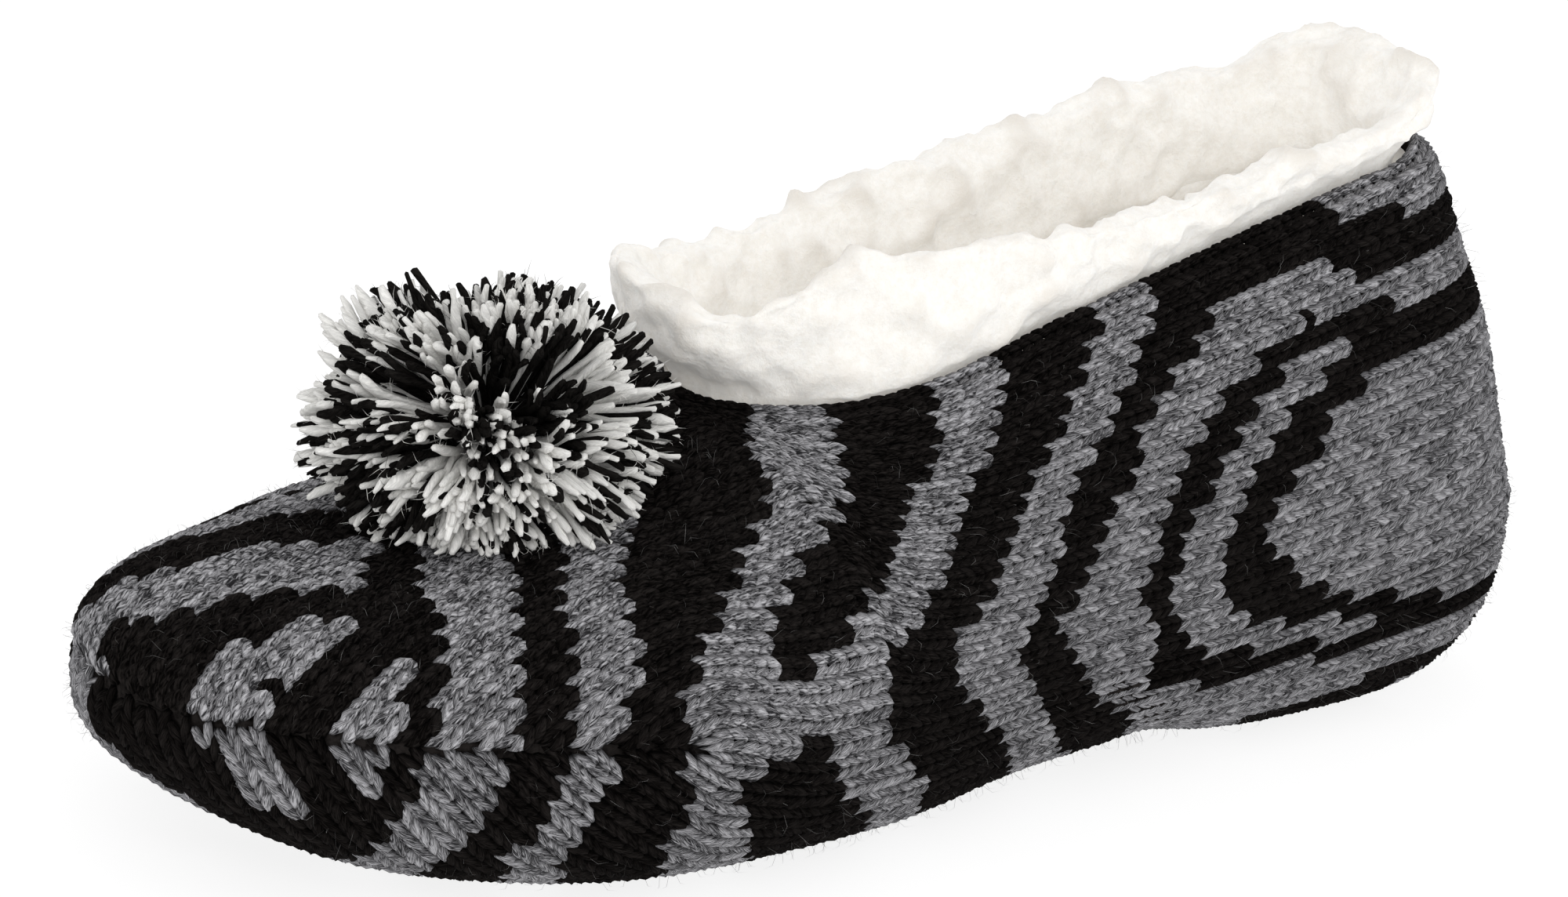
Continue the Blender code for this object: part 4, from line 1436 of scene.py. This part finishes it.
class SLIPPER_OT_fleece_collar(bpy.types.Operator):
    """Fleece collar that stands out of the rim, and the lining below it"""

    bl_idname = "slipper.fleece_collar"
    bl_label = "Fleece collar and lining"

    def execute(self, context):
        fleece = context.scene.slipper_fleece
        white = fleece_material("white_fleece", fleece.white, fleece.shade, fleece.hollow_shade)
        smooth, share = cuff_points()
        normals = -ring_normals(smooth)
        rows, columns = smooth.shape[:2]
        depth = pile(smooth.reshape(-1, 3), PILE_LUMPS)
        # Painted shade in the hollows between the finer lumps
        hollow_shade = hollow_shade_mask(pile(smooth.reshape(-1, 3), PILE_LUMPS[1:]))
        out = (depth - PILE_SINK) * np.tile(share, rows)
        points = smooth.reshape(-1, 3) + normals.reshape(-1, 3) * out[:, None]
        corner = np.arange(rows * columns).reshape(rows, columns)
        below, right = np.roll(corner, -1, 0), np.roll(corner, -1, 1)
        quads = np.stack([corner, right, np.roll(below, -1, 1), below], -1).reshape(-1, 4)
        lengths = np.full(len(quads), 4)
        cuff = add_piece("fleece_cuff", points, quads.ravel(), lengths, white, {"hollow_shade": hollow_shade})
        merge_doubles(cuff)
        dress(cuff, "white_fleece", "sherpa_cuff")

        stations = eased(LINING_START, LINING_END, LINING_STEPS)[:, None]
        behind = np.clip((stations - LINING_CLOSE) / (INSOLE_END - LINING_CLOSE), 0, 1)
        foot = LINING_FOOT - (math.pi / 2 + LINING_FOOT) * behind
        turns = foot + (rim_turn(stations) - foot) * np.linspace(0, 1, LINING_TURNS)
        wall = skin(stations, turns)
        normal = skin_normal(stations, turns)
        for side, name in ((-1, "lining_near"), (1, "lining_far")):
            flip = np.array([1, side, 1])
            back = (wall - normal * (LINING_INSET - LINING_CLOTH)) * flip
            face = (wall - normal * (LINING_INSET + LINING_PILE)) * flip
            out = pile(face.reshape(-1, 3), PILE_LUMPS[1:3])
            # Painted shade in the hollows of the lining's pile, none on its back
            values = {"hollow_shade": np.concatenate([np.zeros(len(out)), hollow_shade_mask(out)])}
            face = face - normal * flip * out.reshape(*face.shape[:2], 1)
            piece = shell_piece(name, back, face, white, values)
            dress(piece, "white_fleece")
        return {"FINISHED"}


class SLIPPER_OT_footbed(bpy.types.Operator):
    """Fleece footbed in the bottom of the sole"""

    bl_idname = "slipper.footbed"
    bl_label = "Fleece footbed"

    def execute(self, context):
        fleece = context.scene.slipper_fleece
        warm = fleece_material("footbed_fleece", fleece.white, fleece.shade, fleece.hollow_shade)
        stations = eased(INSOLE_START, INSOLE_END, FOOTBED_STEPS)[:, None]
        share = np.linspace(0, 1, FOOTBED_TURNS)
        turns = -math.pi / 2 * (1 - INSOLE_REACH * share) + 0 * stations
        under = skin(stations, turns) - skin_normal(stations, turns) * (SOLE_WALL + INSOLE_GAP)
        top = under.copy()
        top[:, :, 2] = np.maximum(under[:, -1:, 2], under[:, :1, 2] + INSOLE_THICKNESS)
        out = pile(top.reshape(-1, 3), PILE_LUMPS[1:3]).reshape(top.shape[:2])
        top[:, :, 2] += (out - FOOTBED_SINK) * np.clip((1 - share) * FOOTBED_EDGE, 0, 1)
        # Painted shade in the hollows of the footbed's pile, none underneath
        hollow_shade = hollow_shade_mask(out)
        hollow_shade = np.concatenate([hollow_shade[:, :0:-1], hollow_shade], 1).ravel()
        values = {"hollow_shade": np.concatenate([np.zeros(len(hollow_shade)), hollow_shade])}
        piece = shell_piece("footbed", both_halves(under), both_halves(top), warm, values)
        dress(piece, "footbed_fleece", "insole")
        return {"FINISHED"}


class SLIPPER_OT_pompom(bpy.types.Operator):
    """Cut-yarn pompom on the vamp"""

    bl_idname = "slipper.pompom"
    bl_label = "Yarn pompom"

    def execute(self, context):
        settings = context.scene.slipper_pompom
        random = np.random.default_rng(POMPOM_SEED)
        radius = settings.radius / MM
        ways, tuft = strand_ways(settings.strands, random)
        count = len(ways)
        groups = ball_directions(COLOUR_GROUPS, STRAND_LOWEST)
        black_share = settings.black_share - PALE_GAIN * (groups @ np.array(PALE_TOWARD))
        shade = (random.uniform(0, 1, len(groups)) > black_share).astype(float)
        pale = shade[np.argmax(ways @ groups.T, 1)]
        ways = unit(parted(ways) + random.normal(0, PART_STRAY, ways.shape))
        reach = radius * random.uniform(*TUFT_REACH, STRAND_TUFTS)[tuft]
        reach = reach * random.uniform(*STRAND_REACH, count)
        reach = np.where(random.uniform(0, 1, count) < LONG_SHARE, radius * LONG_REACH, reach)
        seat = skin(np.array(POMPOM_STATION), np.array(math.pi / 2))
        middle = seat + np.array([0, 0, POMPOM_RISE + GAP])
        squash = np.array([1, 1, settings.squash])
        path = strand_path(middle, ways * squash, tuft, reach, random)
        thick = STRAND_RADIUS * random.uniform(*STRAND_VARIATION, count)
        sheen = [BLACK_SHEEN * channel for channel in settings.black]
        dull = [WHITE_SHADE * channel for channel in settings.white]
        material = yarn_material("pompom_yarn", "grey", settings.black, sheen, dull, settings.white)
        piece = strand_piece("pompom_strands", path, thick, reach, pale, random, material)
        dress(piece, "pompom_yarn", "pompom")
        share = random.uniform(0, 1, (count * TIP_FIBRES, 1)) ** 2
        tips = np.repeat(path[-1], TIP_FIBRES, 0) * (1 - share) + np.repeat(path[2], TIP_FIBRES, 0) * share
        way = np.repeat(unit(path[-1] - path[-2]), TIP_FIBRES, 0)
        spread = random.normal(0, FIBRE_SPREAD, tips.shape)
        base = tips + unit(spread) * STRAND_RADIUS * random.uniform(0, 1, (len(tips), 1)) - way
        bent = base + unit(way + FIBRE_LEAN * spread) * random.uniform(*FIBRE_LENGTH, (len(tips), 1))
        end = bent + unit(way + FIBRE_CURL * spread) * random.uniform(*FIBRE_END, (len(tips), 1))
        wisps = hair_material("pompom_wisps", settings.black, settings.white)
        tone = np.repeat(pale, TIP_FIBRES)
        fibres = hair_piece("pompom_fibres", [base, bent, end], FIBRE_RADIUS, tone, wisps)
        dress(fibres, "pompom_yarn")
        return {"FINISHED"}


class SLIPPER_OT_knit_fuzz(bpy.types.Operator):
    """Loose fibres that stand out of the knit all over"""

    bl_idname = "slipper.knit_fuzz"
    bl_label = "Knit fuzz"

    def execute(self, context):
        knit = context.scene.slipper_knit
        random = np.random.default_rng(FUZZ_SEED)
        count = knit.fuzz
        station = random.uniform(*FUZZ_STATIONS, count)
        level = random.uniform(*FUZZ_LEVELS, count)
        above, below = (GIRTHS[upper].turn(station, np.abs(level)) for upper in (True, False))
        turn = np.where(level > 0, above, below)
        side = random.choice([-1.0, 1.0], count)
        flip = np.stack([np.ones(count), side, np.ones(count)], -1)
        base = skin(station, turn) * flip
        out = skin_normal(station, turn) * flip
        lean = unit(np.cross(out, random.normal(0, 1, (count, 3))))
        size = random.uniform(*FUZZ_LENGTH, (count, 1))
        root = base - out * FUZZ_ROOT
        bend = base + out * size * FUZZ_BEND + lean * size * FUZZ_BEND
        tip = base + out * size * FUZZ_RISE + lean * size
        for points in (root, bend, tip):
            points[:, 2] = np.maximum(points[:, 2], FUZZ_LOWEST)
        material = hair_material("loose_fibre", FUZZ_DARK, FUZZ_LIGHT)
        tone = random.uniform(0, 1, count) ** 2
        piece = hair_piece("knit_fuzz", [root, bend, tip], FUZZ_RADIUS, tone, material)
        dress(piece, "zebra_knit")
        return {"FINISHED"}


class SLIPPER_OT_stage(bpy.types.Operator):
    """Floor, soft studio lights and the camera"""

    bl_idname = "slipper.stage"
    bl_label = "Stage"

    def execute(self, context):
        settings = context.scene.slipper_stage
        bpy.ops.object.select_all(action="DESELECT")
        bpy.ops.mesh.primitive_plane_add(size=FLOOR_SIZE)
        floor = context.object
        floor.name = "floor"
        material, _, _, surface = new_material("floor_paper")
        set_inputs(surface, {"Base Color": (*settings.floor, 1.0), "Roughness": 0.9})
        set_inputs(surface, {"Specular IOR Level": 0.1})
        set_inputs(surface, {"Emission Color": (1.0, 1.0, 1.0, 1.0), "Emission Strength": settings.glow})
        floor.data.materials.append(material)
        world = bpy.data.worlds.new("studio")
        context.scene.world = world
        world.use_nodes = True
        sky = world.node_tree.nodes["Background"]
        set_inputs(sky, {"Color": (1, 1, 1, 1), "Strength": SKY_STRENGTH})
        context.scene.view_settings.view_transform = "Standard"
        for lamp in LAMPS:
            panel = bpy.data.lights.new(lamp.name, "AREA")
            panel.size = lamp.size
            panel.energy = lamp.power
            light = bpy.data.objects.new(lamp.name, panel)
            light.location = lamp.place
            light.rotation_euler = (-Vector(lamp.place)).to_track_quat("-Z", "Y").to_euler()
            context.scene.collection.objects.link(light)
        back = Vector((
            math.sin(settings.azimuth) * math.cos(settings.elevation),
            -math.cos(settings.azimuth) * math.cos(settings.elevation),
            math.sin(settings.elevation),
        ))
        flat = Vector((math.cos(settings.azimuth), math.sin(settings.azimuth), 0))
        rise = back.cross(flat)
        right = math.cos(settings.roll) * flat + math.sin(settings.roll) * rise
        up = math.cos(settings.roll) * rise - math.sin(settings.roll) * flat
        aim = Vector((0, 0, AIM_HEIGHT)) - AIM_LEFT * right + AIM_UP * up
        lens = bpy.data.cameras.new("camera")
        lens.lens = settings.lens
        lens.sensor_width = SENSOR_WIDTH
        lens.clip_end = CLIP_END
        camera = bpy.data.objects.new("camera", lens)
        context.scene.collection.objects.link(camera)
        turn = Matrix((right, up, back)).transposed().to_4x4()
        camera.matrix_world = Matrix.Translation(aim + back * settings.distance) @ turn
        context.scene.camera = camera
        return {"FINISHED"}


STEPS = (
    SLIPPER_OT_knit_upper,
    SLIPPER_OT_knit_sole,
    SLIPPER_OT_fleece_collar,
    SLIPPER_OT_footbed,
    SLIPPER_OT_pompom,
    SLIPPER_OT_knit_fuzz,
    SLIPPER_OT_stage,
)


class SLIPPER_PT_panel(bpy.types.Panel):
    """Lists the slipper's settings and steps in the sidebar"""

    bl_label = "Slipper Sock"
    bl_space_type = "VIEW_3D"
    bl_region_type = "UI"
    bl_category = "Slipper"

    def draw(self, context):
        layout = self.layout
        for name in SETTINGS:
            settings = getattr(context.scene, name)
            for key in settings.__annotations__:
                layout.prop(settings, key)
        for step in STEPS:
            layout.operator(step.bl_idname)


SETTINGS = {
    "slipper_knit": KnitSettings,
    "slipper_fleece": FleeceSettings,
    "slipper_pompom": PompomSettings,
    "slipper_stage": StageSettings,
}
CLASSES = (*SETTINGS.values(), *STEPS, SLIPPER_PT_panel)


def register():
    for one in CLASSES:
        bpy.utils.register_class(one)
    for name, kind in SETTINGS.items():
        setattr(bpy.types.Scene, name, PointerProperty(type=kind))


def unregister():
    for name in SETTINGS:
        delattr(bpy.types.Scene, name)
    for one in reversed(CLASSES):
        bpy.utils.unregister_class(one)


def main():
    register()
    bpy.ops.slipper.knit_upper()
    bpy.ops.slipper.knit_sole()
    bpy.ops.slipper.fleece_collar()
    bpy.ops.slipper.footbed()
    bpy.ops.slipper.pompom()
    bpy.ops.slipper.knit_fuzz()
    bpy.ops.slipper.stage()


if __name__ == "__main__":
    main()
